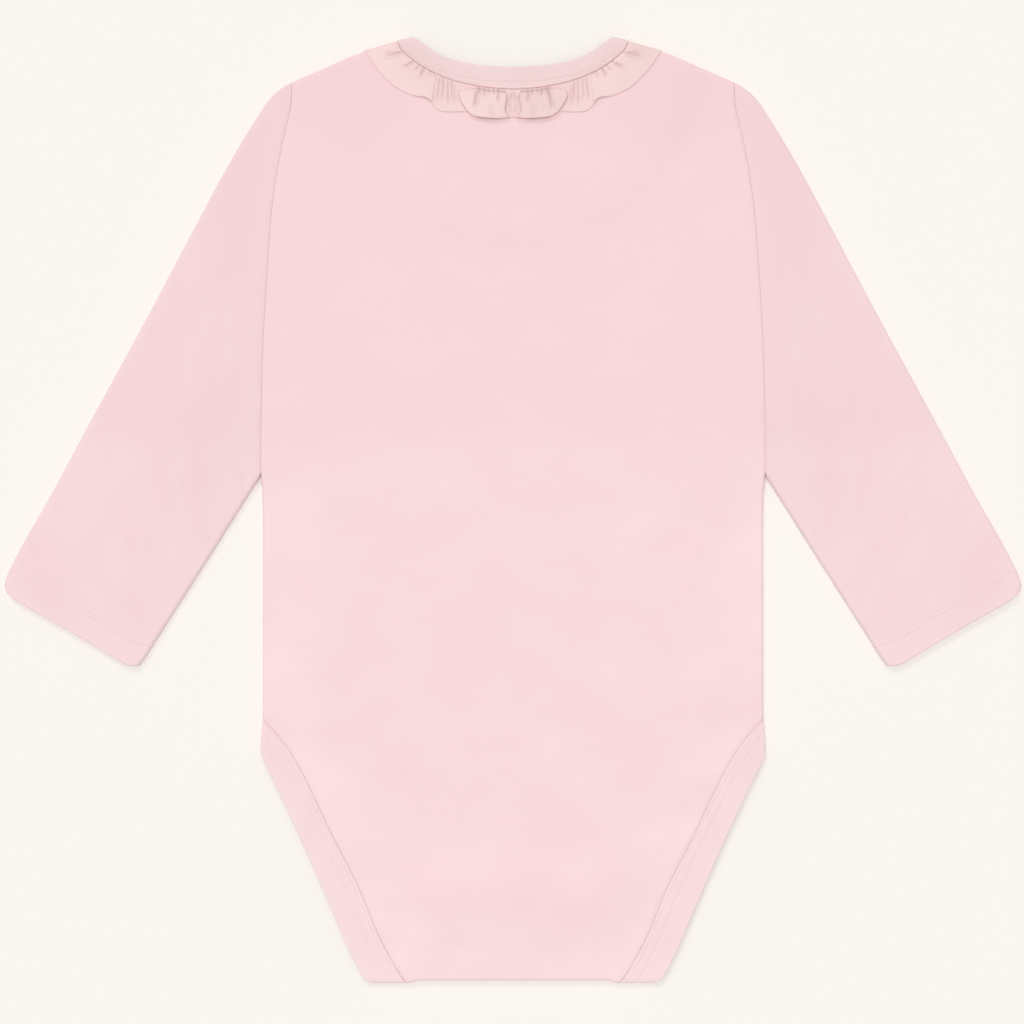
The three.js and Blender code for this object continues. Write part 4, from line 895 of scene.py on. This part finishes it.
def front_panel():
    leg = shifted(front_leg_seam, HALF_GAP)
    lower_end = leg(np.zeros(1))[0][0], FRONT_END_Y
    sides = panel_sides(shifted(front_neck_seam, -HALF_GAP), lower_end, leg, FRONT_END_SHARE)
    rows = graded(PANEL_LENGTH, FRONT_ROWS)
    outer, inner, xy = panel(FRONT, sides, rows, front_seams, False)
    points, faces = shell(outer, inner, grid_faces(len(rows), len(columns)))
    return piece("front", points, faces, np.tile(xy, (2, 1)), jersey, ["front_panel"])


# Sleeves

HEM_START = 1 - HEM_DEPTH / SLEEVE_LENGTH
HEM_STEP = 0.02
LEAST_SLANT = 0.4
SLEEVE_TRIM = {"outer": 0.0002, "inner": 0.0006}
FINE_ROWS_FROM = 0.85
HEM_RISE = 0.18  # how much higher the turned hem stands
HEM_FADE = 0.9
HEM_PUCKERS = {"height": 0.05, "waves": 1.1, "width": 2.2}
CUFF_ROWS = (HEM_DEPTH + 1.6, HEM_DEPTH - 0.4)  # stitching: distances from the cuff's edge
SLEEVE_ROWS = {"arm": 62, "cuff": 80, "near_seam": 1.4}
SLEEVE_COLUMNS = 46
FURROW = {"depth": 0.28, "half_width": 0.42}  # what a row of stitches presses into the cloth


def furrows(distance, rows):
    """Depth of the furrows that rows of stitches leave, at a distance across them."""
    across = np.subtract.outer(distance, rows) / FURROW["half_width"]
    return FURROW["depth"] * np.exp(-(across**2)).sum(-1)


def trimmed(curve, start):
    return lambda share: curve(mix(start, 1, np.asarray(share, float)))


def sleeve_rows():
    """Shares of the sleeve's length, closer together at its ends and in the cuff."""
    steps_in = FOLD_STEPS / SLEEVE_LENGTH
    near_seam = SLEEVE_ROWS["near_seam"] * steps_in
    return np.concatenate([
        [0], near_seam, spaced(near_seam[-1], FINE_ROWS_FROM, SLEEVE_ROWS["arm"]), [FINE_ROWS_FROM],
        spaced(FINE_ROWS_FROM, 1 - steps_in[-1], SLEEVE_ROWS["cuff"]), 1 - steps_in[::-1], [1],
    ])


def sleeve_shares(sides, rows):
    """Shares of the sleeve's width in each row, closer together beside its two folds."""
    ends = [coons(sides, np.full(len(rows), u), rows) for u in (0.0, 1.0)]
    length = np.linalg.norm(ends[1] - ends[0], axis=1, keepdims=True)
    along = (ends[1] - ends[0]) / length

    def steps(fold):
        inward = nearest(BACK["folds"], fold[:, 0], fold[:, 1])[1]
        slant = np.abs((along * inward).sum(1, keepdims=True))
        return FOLD_STEPS / (length * np.maximum(slant, LEAST_SLANT))

    start, end = steps(ends[0]), 1 - steps(ends[1])[:, ::-1]
    between = mix(start[:, -1:], end[:, :1], spaced(0, 1, SLEEVE_COLUMNS))
    return np.concatenate([start, between, end], 1)


def sleeve(name, node, mirror):
    """A flat tube: each ring runs on the back layer from the outer fold to the inner one, then back below."""
    sides = (
        shifted(armhole, HALF_GAP), cuff, trimmed(sleeve_outer, SLEEVE_TRIM["outer"]),
        trimmed(sleeve_inner, SLEEVE_TRIM["inner"]),
    )
    rows = sleeve_rows()
    shares = sleeve_shares(sides, rows)
    edge = np.zeros((len(rows), 1))
    ring = np.concatenate([edge, shares, edge + 1, shares[:, ::-1]], 1)
    count = shares.shape[1]
    v = np.broadcast_to(rows[:, None], ring.shape)
    xy = coons(sides, ring, v)
    flat_xy = xy.reshape(-1, 2)
    seam_distance = edge_distance(armhole_line, flat_xy).reshape(ring.shape)
    cuff_distance = edge_distance(cuff_line, flat_xy).reshape(ring.shape)
    wall = CLOTH + HEM_EXTRA * smooth((v - HEM_START + HEM_STEP) / HEM_STEP)
    rim = drop(seam_distance, RIM) + drop(cuff_distance, (CLOTH + HEM_EXTRA) / 2)
    on_top = np.zeros(ring.shape[1], bool)
    on_top[1:count + 1] = True
    at_hem = np.exp(-(((cuff_distance - HEM_DEPTH) / HEM_PUCKERS["width"]) ** 2))
    puckers = HEM_PUCKERS["height"] * np.sin(xy[..., 0] * HEM_PUCKERS["waves"]) * at_hem
    hem = HEM_RISE * (1 - smooth((cuff_distance - CUFF_ROWS[0]) / HEM_FADE))
    beside_seam = seam_relief(seam_distance, xy[..., 1])
    outer_height = -rim - furrows(cuff_distance, CUFF_ROWS) + np.where(on_top, beside_seam + puckers + hem, 0)
    xy = xy * [mirror, 1]
    outer, inner = np.empty((*ring.shape, 3)), np.empty((*ring.shape, 3))
    groups = [
        (on_fold, BACK, [0, count + 1]),
        (on_layer, BACK, list(range(1, count + 1))),
        (on_layer, FRONT, list(range(count + 2, ring.shape[1]))),
    ]
    for place, layer, chosen in groups:
        for heights, made in ((outer_height, outer), (rim - wall, inner)):
            places = place(layer, xy[:, chosen].reshape(-1, 2), heights[:, chosen].ravel())
            made[:, chosen] = places.reshape(len(rows), len(chosen), 3)
    # Pattern places: the way round each ring, and the way down the sleeve
    ring_steps = np.linalg.norm(np.diff(xy, axis=1), axis=2)
    round_ring = np.concatenate([edge, np.cumsum(ring_steps, 1)], 1)
    pattern = np.stack([round_ring, v * SLEEVE_LENGTH], -1).reshape(-1, 2)
    faces = grid_faces(len(rows), ring.shape[1], True)
    points, faces = shell(outer.reshape(-1, 3), inner.reshape(-1, 3), faces)
    return piece(name, points, faces, np.tile(pattern, (2, 1)), sleeve_knit, [node])


# Bindings

# Height of a binding over the panel: share of its width from the open edge to the seam, then the height.
# Along the neck seam it ends in a raised roll.
NECK_TOP = np.array([
    (0, 0.05), (0.3, 0.15), (0.42, 0.25), (0.48, 0.5), (0.54, 0.7), (0.7, 0.74), (0.86, 0.7),
    (0.895, 0.98), (0.935, 1.16), (0.97, 0.98), (1, 0.45),
])
LEG_TOP = np.array([(0, -0.05), (0.3, 0), (0.6, -0.04), (0.9, -0.02), (1, -0.2)])
NECK_UNDER = -1.0  # height of a binding's underside
LEG_UNDER = -1.2
BAND_RIM = 0.6  # rounding of a binding's open edge
BAND_SEAM_RUN = 0.4
BAND_COLUMNS = 38
# Painted highlight along the neck binding's raised roll: distance from the open edge, half width and how much
# paler
NECK_ROLL_HIGHLIGHT = {"from_edge": 9.6, "half_width": 0.5, "paler": 0.6}
NECK_ROWS = (0.53, 0.81)  # stitching: shares of the binding's width
LEG_ROWS = (0.62, 0.86)


def band(groups, top, bottom, stitched, mirror=1):
    """Points of a strip that runs through stations, each from its open edge to its seam."""
    made, pattern, travelled = [], [], 0.0
    last_middle = None
    for place, layer, edge, seam in groups:
        width = np.linalg.norm(seam - edge, axis=1, keepdims=True)
        near_edge = FOLD_STEPS / FOLD_RADIUS * BAND_RIM / width
        near_seam = 1 - FOLD_STEPS[::-1] / FOLD_RADIUS * BAND_SEAM_RUN / width
        across = mix(near_edge[:, -1:], near_seam[:, :1], spaced(0, 1, BAND_COLUMNS))
        zero = np.zeros_like(width)
        upper = np.concatenate([zero, near_edge, across, near_seam, zero + 1], 1)
        lower = upper[:, ::-1][:, 1:-1]
        furrow = furrows(upper * width, np.multiply(stitched, width.mean()))
        high = look_up(top, upper) - furrow - drop(upper * width, BAND_RIM) - drop((1 - upper) * width, RIM)
        low = bottom + drop(lower * width, BAND_RIM) + drop((1 - lower) * width, RIM)
        shares, heights = np.concatenate([upper, lower], 1), np.concatenate([high, low], 1)
        xy = mix(edge[:, None], seam[:, None], shares[..., None]) * [mirror, 1]
        places = place(layer, xy.reshape(-1, 2), heights.ravel()).reshape(*shares.shape, 3)
        made.append(places)
        for k, middle in enumerate(mix(edge, seam, 0.5)):
            travelled += 0 if last_middle is None else float(np.linalg.norm(middle - last_middle))
            last_middle = middle
            pattern.append(np.stack([shares[k] * width[k], np.full(shares.shape[1], travelled)], -1))
    return np.concatenate(made), np.array(pattern)


def sweep_faces(stations, size, ring):
    """Faces of a grid of section loops, in a ring or with its ends filled."""
    faces = grid_faces(stations, size, True)
    if ring:
        seam = grid_faces(2, size, True)
        return np.concatenate([faces, np.where(seam < size, seam + (stations - 1) * size, seam - size)])
    j = np.arange(size // 2)
    cap = np.stack([j, j + 1, size - 1 - j, (size - j) % size], -1)
    return np.concatenate([faces, cap[:, ::-1], cap + (stations - 1) * size])


def neck_binding():
    back_side, front_side = shifted(neck_seam, HALF_GAP), shifted(front_neck_seam, HALF_GAP)
    shares = graded(NECK_SEAM_LENGTH, 40, before=False)[:-1]
    front_shares = np.linspace(0, 0.985, 60)
    fold_seam = shifted(neck_seam, SEAM_GAP)(np.ones(1))
    groups = [
        (on_layer, BACK, neck_edge(shares), back_side(shares)),
        (on_fold, BACK, neck_edge(np.ones(1)), fold_seam),
        (on_layer, FRONT, front_neck_edge(front_shares)[::-1], front_side(front_shares)[::-1]),
    ]
    half, pattern = band(groups, NECK_TOP, NECK_UNDER, NECK_ROWS)
    other = half[1:-1][::-1] * [-1, 1, 1]
    points = np.concatenate([half, other])
    uv = np.concatenate([pattern, pattern[1:-1][::-1] * [1, -1]])
    faces = sweep_faces(len(points), points.shape[1], True)
    points, uv = points.reshape(-1, 3), uv.reshape(-1, 2)
    # Painted highlight along the raised roll of the binding
    roll_highlight = np.exp(-(((uv[:, 0] - NECK_ROLL_HIGHLIGHT["from_edge"]) / NECK_ROLL_HIGHLIGHT["half_width"]) ** 2))
    tone = wear_and_painted_light(points[:, 0], points[:, 1]) + NECK_ROLL_HIGHLIGHT["paler"] * roll_highlight
    return piece("neck_band", points, faces, uv, binding_knit, ["neck_binding"], tone)


def leg_binding(name, node, mirror):
    """A strip from the flap's end round the crotch fold, up the back, round the hip and down the front."""
    def sewn(seam):
        return shifted(seam, -SEAM_GAP)

    flap_shares = graded(FLAP_END_Y - CROTCH_Y, FLAP_ROWS, after=False)[:0:-1]
    back_shares = graded(HALF_WIDTH, 70)[1:-1]
    front_shares = np.linspace(0, 0.99, 60)[::-1]
    zero, one = np.zeros(1), np.ones(1)
    crotch_seam = np.array([[LEG_SEAM[0][0] + SEAM_GAP, CROTCH_Y]])
    groups = [
        (on_layer, FLAP, flap_edge(flap_shares), sewn(flap_seam)(flap_shares)),
        (on_fold, BACK, leg_edge(zero), crotch_seam),
        (on_layer, BACK, leg_edge(back_shares), sewn(leg_seam)(back_shares)),
        (on_fold, BACK, leg_edge(one), sewn(leg_seam)(one)),
        (on_layer, FRONT, front_leg_edge(front_shares), sewn(front_leg_seam)(front_shares)),
    ]
    points, pattern = band(groups, LEG_TOP, LEG_UNDER, LEG_ROWS, mirror)
    faces = sweep_faces(len(points), points.shape[1], False)
    points = hung(points).reshape(-1, 3)
    return piece(name, points, faces, pattern.reshape(-1, 2), leg_knit, [node])


# Ruffle

# Shares of a fold's path: close together in its two turns
TURN_SHARES = np.concatenate([
    np.linspace(0, 0.38, 11), np.linspace(0.38, 0.62, 4)[1:-1], np.linspace(0.62, 1, 11),
])
# Shares of the strip's width: close together at the seam and at the edge
RUFFLE_ROWS = np.concatenate([
    np.linspace(0, 0.3, 19), np.linspace(0.33, 0.95, 21), [0.965, 0.98, 0.99, 0.996, 1],
])
# Columns: the centre, a lobe, the flat part beside it, the front, and the rest up to the shoulder
RUFFLE_COLUMNS = {"centre": 14, "lobe": 90, "flat": 50, "front": 90}
RUFFLE_REST = np.arange(34.3, 54.5, 0.2)
GATHER_FADE = {"centre": 0.8, "lobe": 0.06, "rest": 1.5}  # gathers fade out beside the folds
ruffle_root = shifted(neck_seam, -SEAM_GAP)


def ruffle_plan(along, share):
    edge = np.stack([look_up(RUFFLE_EDGE, along, 1), look_up(RUFFLE_EDGE, along, 2)], -1)
    return mix(ruffle_root(along / NECK_SEAM_LENGTH), edge, share)


def fold_path(share):
    """A fold seen from the outer edge: offset along the seam, height and slope of the strip as it turns."""
    turned = smooth(share / FOLD["turned_at"])
    turn = math.radians(mix(FOLD["root_rise"], FOLD["full_turn"], turned))
    in_run = mix(FOLD["root_run"], FOLD["mid_run"], smooth(2 * share / FOLD["turned_at"]))
    run = in_run + (FOLD["edge_run"] - FOLD["mid_run"]) * smooth(1.5 * share / FOLD["turned_at"] - 1)
    r = FOLD["radius"]
    at = TURN_SHARES * (2 * r * turn + run)
    first = np.minimum(at, r * turn) / r
    flat = np.clip(at - r * turn, 0, run)
    last = turn - np.maximum(at - r * turn - run, 0) / r
    along = r * np.sin(first) + flat * math.cos(turn) + r * (math.sin(turn) - np.sin(last))
    height = r * (1 - np.cos(first)) + flat * math.sin(turn) + r * (np.cos(last) - math.cos(turn))
    return along, height, np.where(at < r * turn, first, last)


def pleat_height(along, share):
    climb = smooth((along - PLEAT["valley"]) / (PLEAT["crest"] - PLEAT["valley"]))
    fall = 1 - smooth((along - PLEAT["crest"]) / (PLEAT["foot"] - PLEAT["crest"]))
    return PLEAT["height"] * climb * fall * smooth(share / PLEAT["risen_at"])


def root_ripple(along, share):
    wave = 0.5 - 0.5 * np.cos(2 * math.pi * along / RIPPLE["length"])
    near = smooth(share / RIPPLE["at_share"]) * (1 - smooth((share - RIPPLE["at_share"]) / RIPPLE["fade"]))
    return RIPPLE["height"] * wave * near * (1 - smooth((along - RIPPLE["last_along"]) / RIPPLE["last_run"]))


def gathers(along, share):
    """Small gathers at a share of the strip's width: how deep they press in, and the ridges beside them."""
    depth, ridges = np.zeros(len(along)), np.zeros(len(along))
    for start, first, end, last, half_width, deep in GATHERS:
        t = (share - first) / (last - first)
        off = np.abs(along - mix(start, end, t)) / half_width
        here = deep * smooth(t / GATHER_ENDS[0]) * smooth((1 - t) / GATHER_ENDS[1])
        depth += here * np.exp(-(off**2))
        beside = np.exp(-(((off - GATHER_RIDGE["off"]) / GATHER_RIDGE["half_width"]) ** 2))
        ridges += here * GATHER_RIDGE["height"] * beside * smooth(share / GATHER_RIDGE["from_share"])
    return np.minimum(depth, GATHER_DEPTH), ridges


def ruffle_line(share):
    """The strip's middle line from the centre back to the shoulder, with its gathers and its folds."""
    along, height, slope = fold_path(share)
    width, step, edge_of = along[-1], height[-1], along.min()
    inner_start = look_up(LOBE_INNER_EDGE, share) + RUFFLE_CLOTH / 2 - edge_of
    outer_end = look_up(LOBE_OUTER_EDGE, share) - RUFFLE_CLOTH / 2 + edge_of
    t = spaced(0, 1, RUFFLE_COLUMNS["lobe"])
    lobe = mix(inner_start + width, outer_end - width, t)
    flat = mix(outer_end, PLEAT["valley"], spaced(0, 1, RUFFLE_COLUMNS["flat"]))
    rest = np.concatenate([flat, [PLEAT["valley"]], RUFFLE_REST])
    centre = np.linspace(0, inner_start, RUFFLE_COLUMNS["centre"])[:-1]
    parts = [centre, inner_start + along, lobe, outer_end - along[::-1], rest]
    puffed = step + LOBE_PUFF * np.sin(math.pi * t) * math.sin(0.9 * math.pi * share)
    heights = [0 * centre, height, puffed, height[::-1], pleat_height(rest, share)]
    slopes = [0 * centre, slope, 0 * t, -slope[::-1], 0 * rest]
    flat_part = [
        smooth((inner_start - centre) / GATHER_FADE["centre"]), 0 * height,
        smooth(np.minimum(t, 1 - t) / GATHER_FADE["lobe"]), 0 * height,
        smooth((rest - outer_end) / GATHER_FADE["rest"]),
    ]
    line = np.concatenate(parts)
    pressed, ridges = (found * np.concatenate(flat_part) for found in gathers(line, share))
    height = root_height(share) + np.concatenate(heights) + root_ripple(line, share) + ridges
    on_top = np.concatenate([0 * centre, 1 + 0 * along, 1 + 0 * t, 1 + 0 * along, 0 * rest])
    # Where the painted shade along the lobes' fold edges falls
    inside = np.minimum(line - look_up(LOBE_INNER_EDGE, share), look_up(LOBE_OUTER_EDGE, share) - line)
    folded = on_top * np.exp(-((np.maximum(inside, 0) / RUFFLE_PAINTED_SHADE["fold_width"]) ** 2))
    return line, height, np.concatenate(slopes), pressed, folded


def root_height(share):
    """Height of the strip's middle, which rises out of the seam."""
    return mix(RUFFLE_ROOT["height"], RUFFLE_LOW, smooth(share / RUFFLE_ROOT["rise"]))


def front_ruffle_plan(shares, share):
    """The strip's places along the front neck, where its outer edge is scalloped."""
    swing = np.sin(shares * math.pi * SCALLOP["waves"]) ** 2
    wave = SCALLOP["depth"] * swing * smooth((1 - shares) / SCALLOP["fade"]) * share
    rim = scoop(FRONT_RUFFLE_SCOOP)(shares)
    centre = np.array([0, FRONT_RUFFLE_SCOOP[1]])
    reach = np.linalg.norm(rim - centre, axis=1, keepdims=True)
    rim = centre + (rim - centre) * (1 - wave[:, None] / reach)
    return mix(shifted(front_neck_seam, -SEAM_GAP)(shares), rim, share)


def neck_ruffle():
    """A ring: on the back from the centre to the shoulder, round it, and along the front neck."""
    front_shares = np.linspace(0, 0.985, RUFFLE_COLUMNS["front"])[::-1]
    outer, inner, pattern, tones = [], [], [], []
    for share in RUFFLE_ROWS:
        along, height, slope, pressed, folded = ruffle_line(share)
        inside = (1 - share) * RUFFLE_WIDTH
        half = mix(RUFFLE_ROOT["half_cloth"], RUFFLE_CLOTH / 2, smooth(share / RUFFLE_ROOT["rise"]))
        on_bead = np.exp(-(((inside - EDGE_BEAD["inside"]) / EDGE_BEAD["half_width"]) ** 2))
        thin = half + EDGE_BEAD["height"] * on_bead - drop(inside, RUFFLE_CLOTH / 2)
        low = root_height(share)
        rows = []
        for turn in (1, -1):
            xy = ruffle_plan(along - turn * np.sin(slope) * thin, share)
            back = on_layer(BACK, xy, height + turn * np.cos(slope) * thin - (pressed if turn > 0 else 0))
            beside = NECK_SEAM_LENGTH - FOLD_STEPS[::-1] / mix(1, EDGE_SPREAD, share)
            side_xy = ruffle_plan(beside, share)
            beside_fold = on_layer(BACK, side_xy, np.full(len(side_xy), low + turn * thin))
            turn_xy = ruffle_plan(np.array([NECK_SEAM_LENGTH]), share)
            at_fold = on_fold(BACK, turn_xy, np.full(1, low + turn * thin))
            front_xy = front_ruffle_plan(front_shares, share)
            front = on_layer(FRONT, front_xy, np.full(len(front_xy), low + turn * thin))
            rows.append(np.concatenate([back, beside_fold, at_fold, front]))
        # Painted shade in the gathers and along the fold edges, most where the folds meet the seam
        deeper = np.zeros(len(rows[0]))
        deeper[:len(along)] = RUFFLE_PAINTED_SHADE["gather"] * pressed / GATHER_DEPTH
        from_seam = smooth(share / RUFFLE_PAINTED_SHADE["up_to"] * 2 - 1)
        on_folds = mix(RUFFLE_PAINTED_SHADE["upper_fold"], RUFFLE_PAINTED_SHADE["fold"], from_seam)
        deeper[:len(along)] += on_folds * folded
        tones.append(RUFFLE_TONE - np.concatenate([deeper, deeper[1:-1][::-1]]))
        half_length = np.concatenate([[0], np.cumsum(np.linalg.norm(np.diff(rows[0], axis=0), axis=1))])
        for row, kept in zip(rows, (outer, inner)):
            kept.append(np.concatenate([row, row[1:-1][::-1] * [-1, 1, 1]]))
        round_it = np.concatenate([half_length, -half_length[1:-1][::-1]])
        pattern.append(np.stack([round_it, np.full(len(round_it), share * RUFFLE_WIDTH)], -1))
    size = len(outer[0])
    faces = grid_faces(len(RUFFLE_ROWS), size, True)
    points, faces = shell(np.concatenate(outer), np.concatenate(inner), faces)
    uv = np.tile(np.concatenate(pattern), (2, 1))
    tone = np.tile(np.concatenate(tones), 2)
    return piece("ruffle", points, faces, uv, ruffle_knit, ["neck_ruffle"], tone)


# Snaps

def snap(name, node, x):
    """One fastened snap, turned about its own axis."""
    flap_inner = FLAP_SNAP_LIFT + CLOTH
    middle = flap_inner + SNAP_GAP
    inner_disc = middle + SNAP_MIDDLE["thickness"] + 2 * SNAP_GAP + CLOTH

    def disc(size, base):
        r, t, soft = size["radius"], size["thickness"], SNAP_SOFTENING
        turn = np.linspace(0, math.pi / 2, 5)
        low = [(r - soft + soft * math.sin(a), base + soft - soft * math.cos(a)) for a in turn]
        high = [(r - soft + soft * math.cos(a), base + t - soft + soft * math.sin(a)) for a in turn]
        return [(SNAP_POST_RADIUS, base), *low, *high, (SNAP_POST_RADIUS, base + t)]

    discs = disc(SNAP_OUTER, 0)[1:] + disc(SNAP_MIDDLE, middle) + disc(SNAP_INNER, inner_disc)[:-1]
    top = inner_disc + SNAP_INNER["thickness"]
    rings = np.array(SNAP_DISH + discs + [(radius, top - depth) for radius, depth in reversed(SNAP_DISH)])
    angles = np.linspace(0, 2 * math.pi, SNAP_SIDES, endpoint=False)
    points = np.stack([
        x + rings[:, :1] * np.cos(angles), SNAP_Y + rings[:, :1] * np.sin(angles),
        np.broadcast_to(rings[:, 1:], (len(rings), len(angles))),
    ], -1).reshape(-1, 3)
    faces = grid_faces(len(rings), len(angles), True)
    return piece(name, points, faces, points[:, :2], snap_enamel, [node])


# Stitching

STITCH = {"length": 1.25, "pitch": 1.75, "radius": 0.2, "proud": 0.06, "ends_down": 0.12}
STITCH_TAPER = {"from": 0.06, "to": 0.94, "bluntness": 0.4}
STITCH_PARTS = 5
STITCH_SIDES = 6


def stitches(name, paths, material, mirror=1):
    """Rows of separate stitches. A path is a layer, its line in the plan and the cloth's height."""
    points, faces, uv = [], [], []
    parts = np.linspace(0, 1, STITCH_PARTS)
    first = 0
    for layer, line, height in paths:
        curve = along_line(line)
        length = np.linalg.norm(np.diff(line, axis=0), axis=1).sum()
        count = int(length / STITCH["pitch"])
        starts = (np.arange(count) + 0.5) * length / count - STITCH["length"] / 2
        at = (starts[:, None] + parts * STITCH["length"]) / length
        xy = curve(at.ravel()) * [mirror, 1]
        ends_down = np.tile(STITCH["ends_down"] * (np.sin(math.pi * parts) - 1), count)
        proud = STITCH["proud"] if layer["up"] > 0 else 0
        middle = on_layer(layer, xy, height + proud - STITCH["radius"] + ends_down)
        above = on_layer(layer, xy, height + 0.5)
        up = (above - middle) / np.linalg.norm(above - middle, axis=1, keepdims=True)
        along = np.gradient(middle.reshape(count, STITCH_PARTS, 3), axis=1).reshape(-1, 3)
        beside = np.cross(along, up)
        beside /= np.linalg.norm(beside, axis=1, keepdims=True)
        taper = np.sin(math.pi * mix(STITCH_TAPER["from"], STITCH_TAPER["to"], parts))
        radius = STITCH["radius"] * np.tile(taper ** STITCH_TAPER["bluntness"], count)
        for side_at in np.arange(STITCH_SIDES) * 2 * math.pi / STITCH_SIDES:
            points.append(middle + radius[:, None] * (math.cos(side_at) * beside + math.sin(side_at) * up))
        ring = first + np.arange(STITCH_SIDES) * len(middle)
        after = np.roll(ring, -1)
        for base in np.arange(count) * STITCH_PARTS:
            for part in base + np.arange(STITCH_PARTS - 1):
                faces.append(np.stack([ring + part, after + part, after + part + 1, ring + part + 1], -1))
            for end, turn in ((base, 1), (base + STITCH_PARTS - 1, -1)):
                r = ring + end
                faces.append(np.array([[r[0], r[1], r[2], r[3]], [r[0], r[3], r[4], r[5]]])[:, ::-turn])
        first += STITCH_SIDES * len(middle)
        uv.append(np.tile(np.stack([at.ravel() * length, at.ravel() * 0], -1), (STITCH_SIDES, 1)))
    points = hung(np.concatenate(points))
    return piece(name, points, np.concatenate(faces), np.concatenate(uv), material, ())


def band_line(edge, seam, share, start=0.0, end=1.0, count=80):
    at = np.linspace(start, end, count)
    return mix(edge(at), seam(at), share)


def whole_line(half):
    return np.concatenate([half[:0:-1] * [-1, 1], half])


def neck_stitching():
    paths = []
    for share in NECK_ROWS:
        height = look_up(NECK_TOP, share)
        paths.append((BACK, whole_line(band_line(neck_edge, neck_seam, share, 0, 0.96)), height))
        paths.append((FRONT, whole_line(band_line(front_neck_edge, front_neck_seam, share, 0, 0.97)), height))
    return stitches("neck_stitching", paths, pink_thread)


def leg_stitching(name, mirror):
    paths = []
    for share in LEG_ROWS:
        height = look_up(LEG_TOP, share)
        paths += [
            (BACK, band_line(leg_edge, leg_seam, share, 0.02, 0.985), height),
            (FRONT, band_line(front_leg_edge, front_leg_seam, share, 0.0, 0.97), height),
            (FLAP, band_line(flap_edge, flap_seam, share, 0.06, 1.0), height),
        ]
    return stitches(name, paths, pink_thread, mirror)


def cuff_stitching(name, mirror):
    at = np.linspace(0.02, 0.98, 60)
    paths = [
        (layer, shifted(cuff, -depth)(at), height)
        for depth in CUFF_ROWS
        for layer, height in ((BACK, HEM_RISE), (FRONT, 0.0))
    ]
    return stitches(name, paths, pink_thread, mirror)


# The garment

back = back_panel()
front = front_panel()
left_sleeve = sleeve("left_sleeve", "sleeve_left", -1)
right_sleeve = sleeve("right_sleeve", "sleeve_right", 1)
neck_band = neck_binding()
left_leg_band = leg_binding("left_leg_band", "leg_binding_left", -1)
right_leg_band = leg_binding("right_leg_band", "leg_binding_right", 1)
ruffle = neck_ruffle()
for snap_name, snap_node, snap_x in (
    ("snap_a", "snap_left", -SNAP_SPACING),
    ("snap_b", "snap_middle", 0),
    ("snap_c", "snap_right", SNAP_SPACING),
):
    snap(snap_name, snap_node, snap_x)
neck_thread = neck_stitching()
left_leg_thread = leg_stitching("left_leg_stitching", -1)
right_leg_thread = leg_stitching("right_leg_stitching", 1)
left_cuff_thread = cuff_stitching("left_cuff_stitching", -1)
right_cuff_thread = cuff_stitching("right_cuff_stitching", 1)

# Floor, light and camera

FLOOR_SIZE = 14.0
PIXEL = 0.4447 * MM
VIEW_WIDTH = 1024 * PIXEL
LENS = 100
SENSOR = 36
CAMERA_OFF = (-1, -3)  # pixels
WORLD_LIGHT = 0.505
# Suns: name, the place that each shines from, its strength and its width in degrees
SUNS = [("key", (-0.3, 0.8, 0.9), 0.45, 20), ("overhead", (-0.1, 0.1, 2.3), 1.22, 22)]


def floor():
    n = Nodes("floor_paper")
    grain = n.noise(n.add("ShaderNodeTexCoord").outputs["Object"], 300.0)
    colour = n.colour(grain, "#faf6f1", "#fbf7f2")
    mesh = bpy.data.meshes.new("floor")
    half = FLOOR_SIZE / 2
    corners = [(-half, -half, 0), (half, -half, 0), (half, half, 0), (-half, half, 0)]
    mesh.from_pydata(corners, [], [(0, 1, 2, 3)])
    mesh.materials.append(n.finish({"Base Color": colour, "Roughness": 1.0, "Specular IOR Level": 0.0}))
    made = bpy.data.objects.new("floor", mesh)
    bpy.context.collection.objects.link(made)


def add_sun(name, place, strength, width):
    """A soft sun that shines from a place to the origin."""
    data = bpy.data.lights.new(name, "SUN")
    data.energy = strength
    data.angle = math.radians(width)
    lamp = bpy.data.objects.new(name, data)
    bpy.context.collection.objects.link(lamp)
    lamp.location = place
    lamp.rotation_euler = (-Vector(place)).to_track_quat("-Z", "Y").to_euler()


floor()
world = bpy.data.worlds.new("studio")
bpy.context.scene.world = world
world.use_nodes = True
background = world.node_tree.nodes["Background"]
background.inputs["Color"].default_value = (1, 1, 1, 1)
background.inputs["Strength"].default_value = WORLD_LIGHT
for sun in SUNS:
    add_sun(*sun)

camera_data = bpy.data.cameras.new("camera")
camera_data.lens = LENS
camera_data.sensor_width = SENSOR
camera = bpy.data.objects.new("camera", camera_data)
bpy.context.collection.objects.link(camera)
camera_height = VIEW_WIDTH * LENS / SENSOR + FOLD_RADIUS * MM
camera.location = (CAMERA_OFF[0] * PIXEL, CAMERA_OFF[1] * PIXEL, camera_height)
bpy.context.scene.camera = camera
bpy.context.scene.view_settings.view_transform = "Standard"
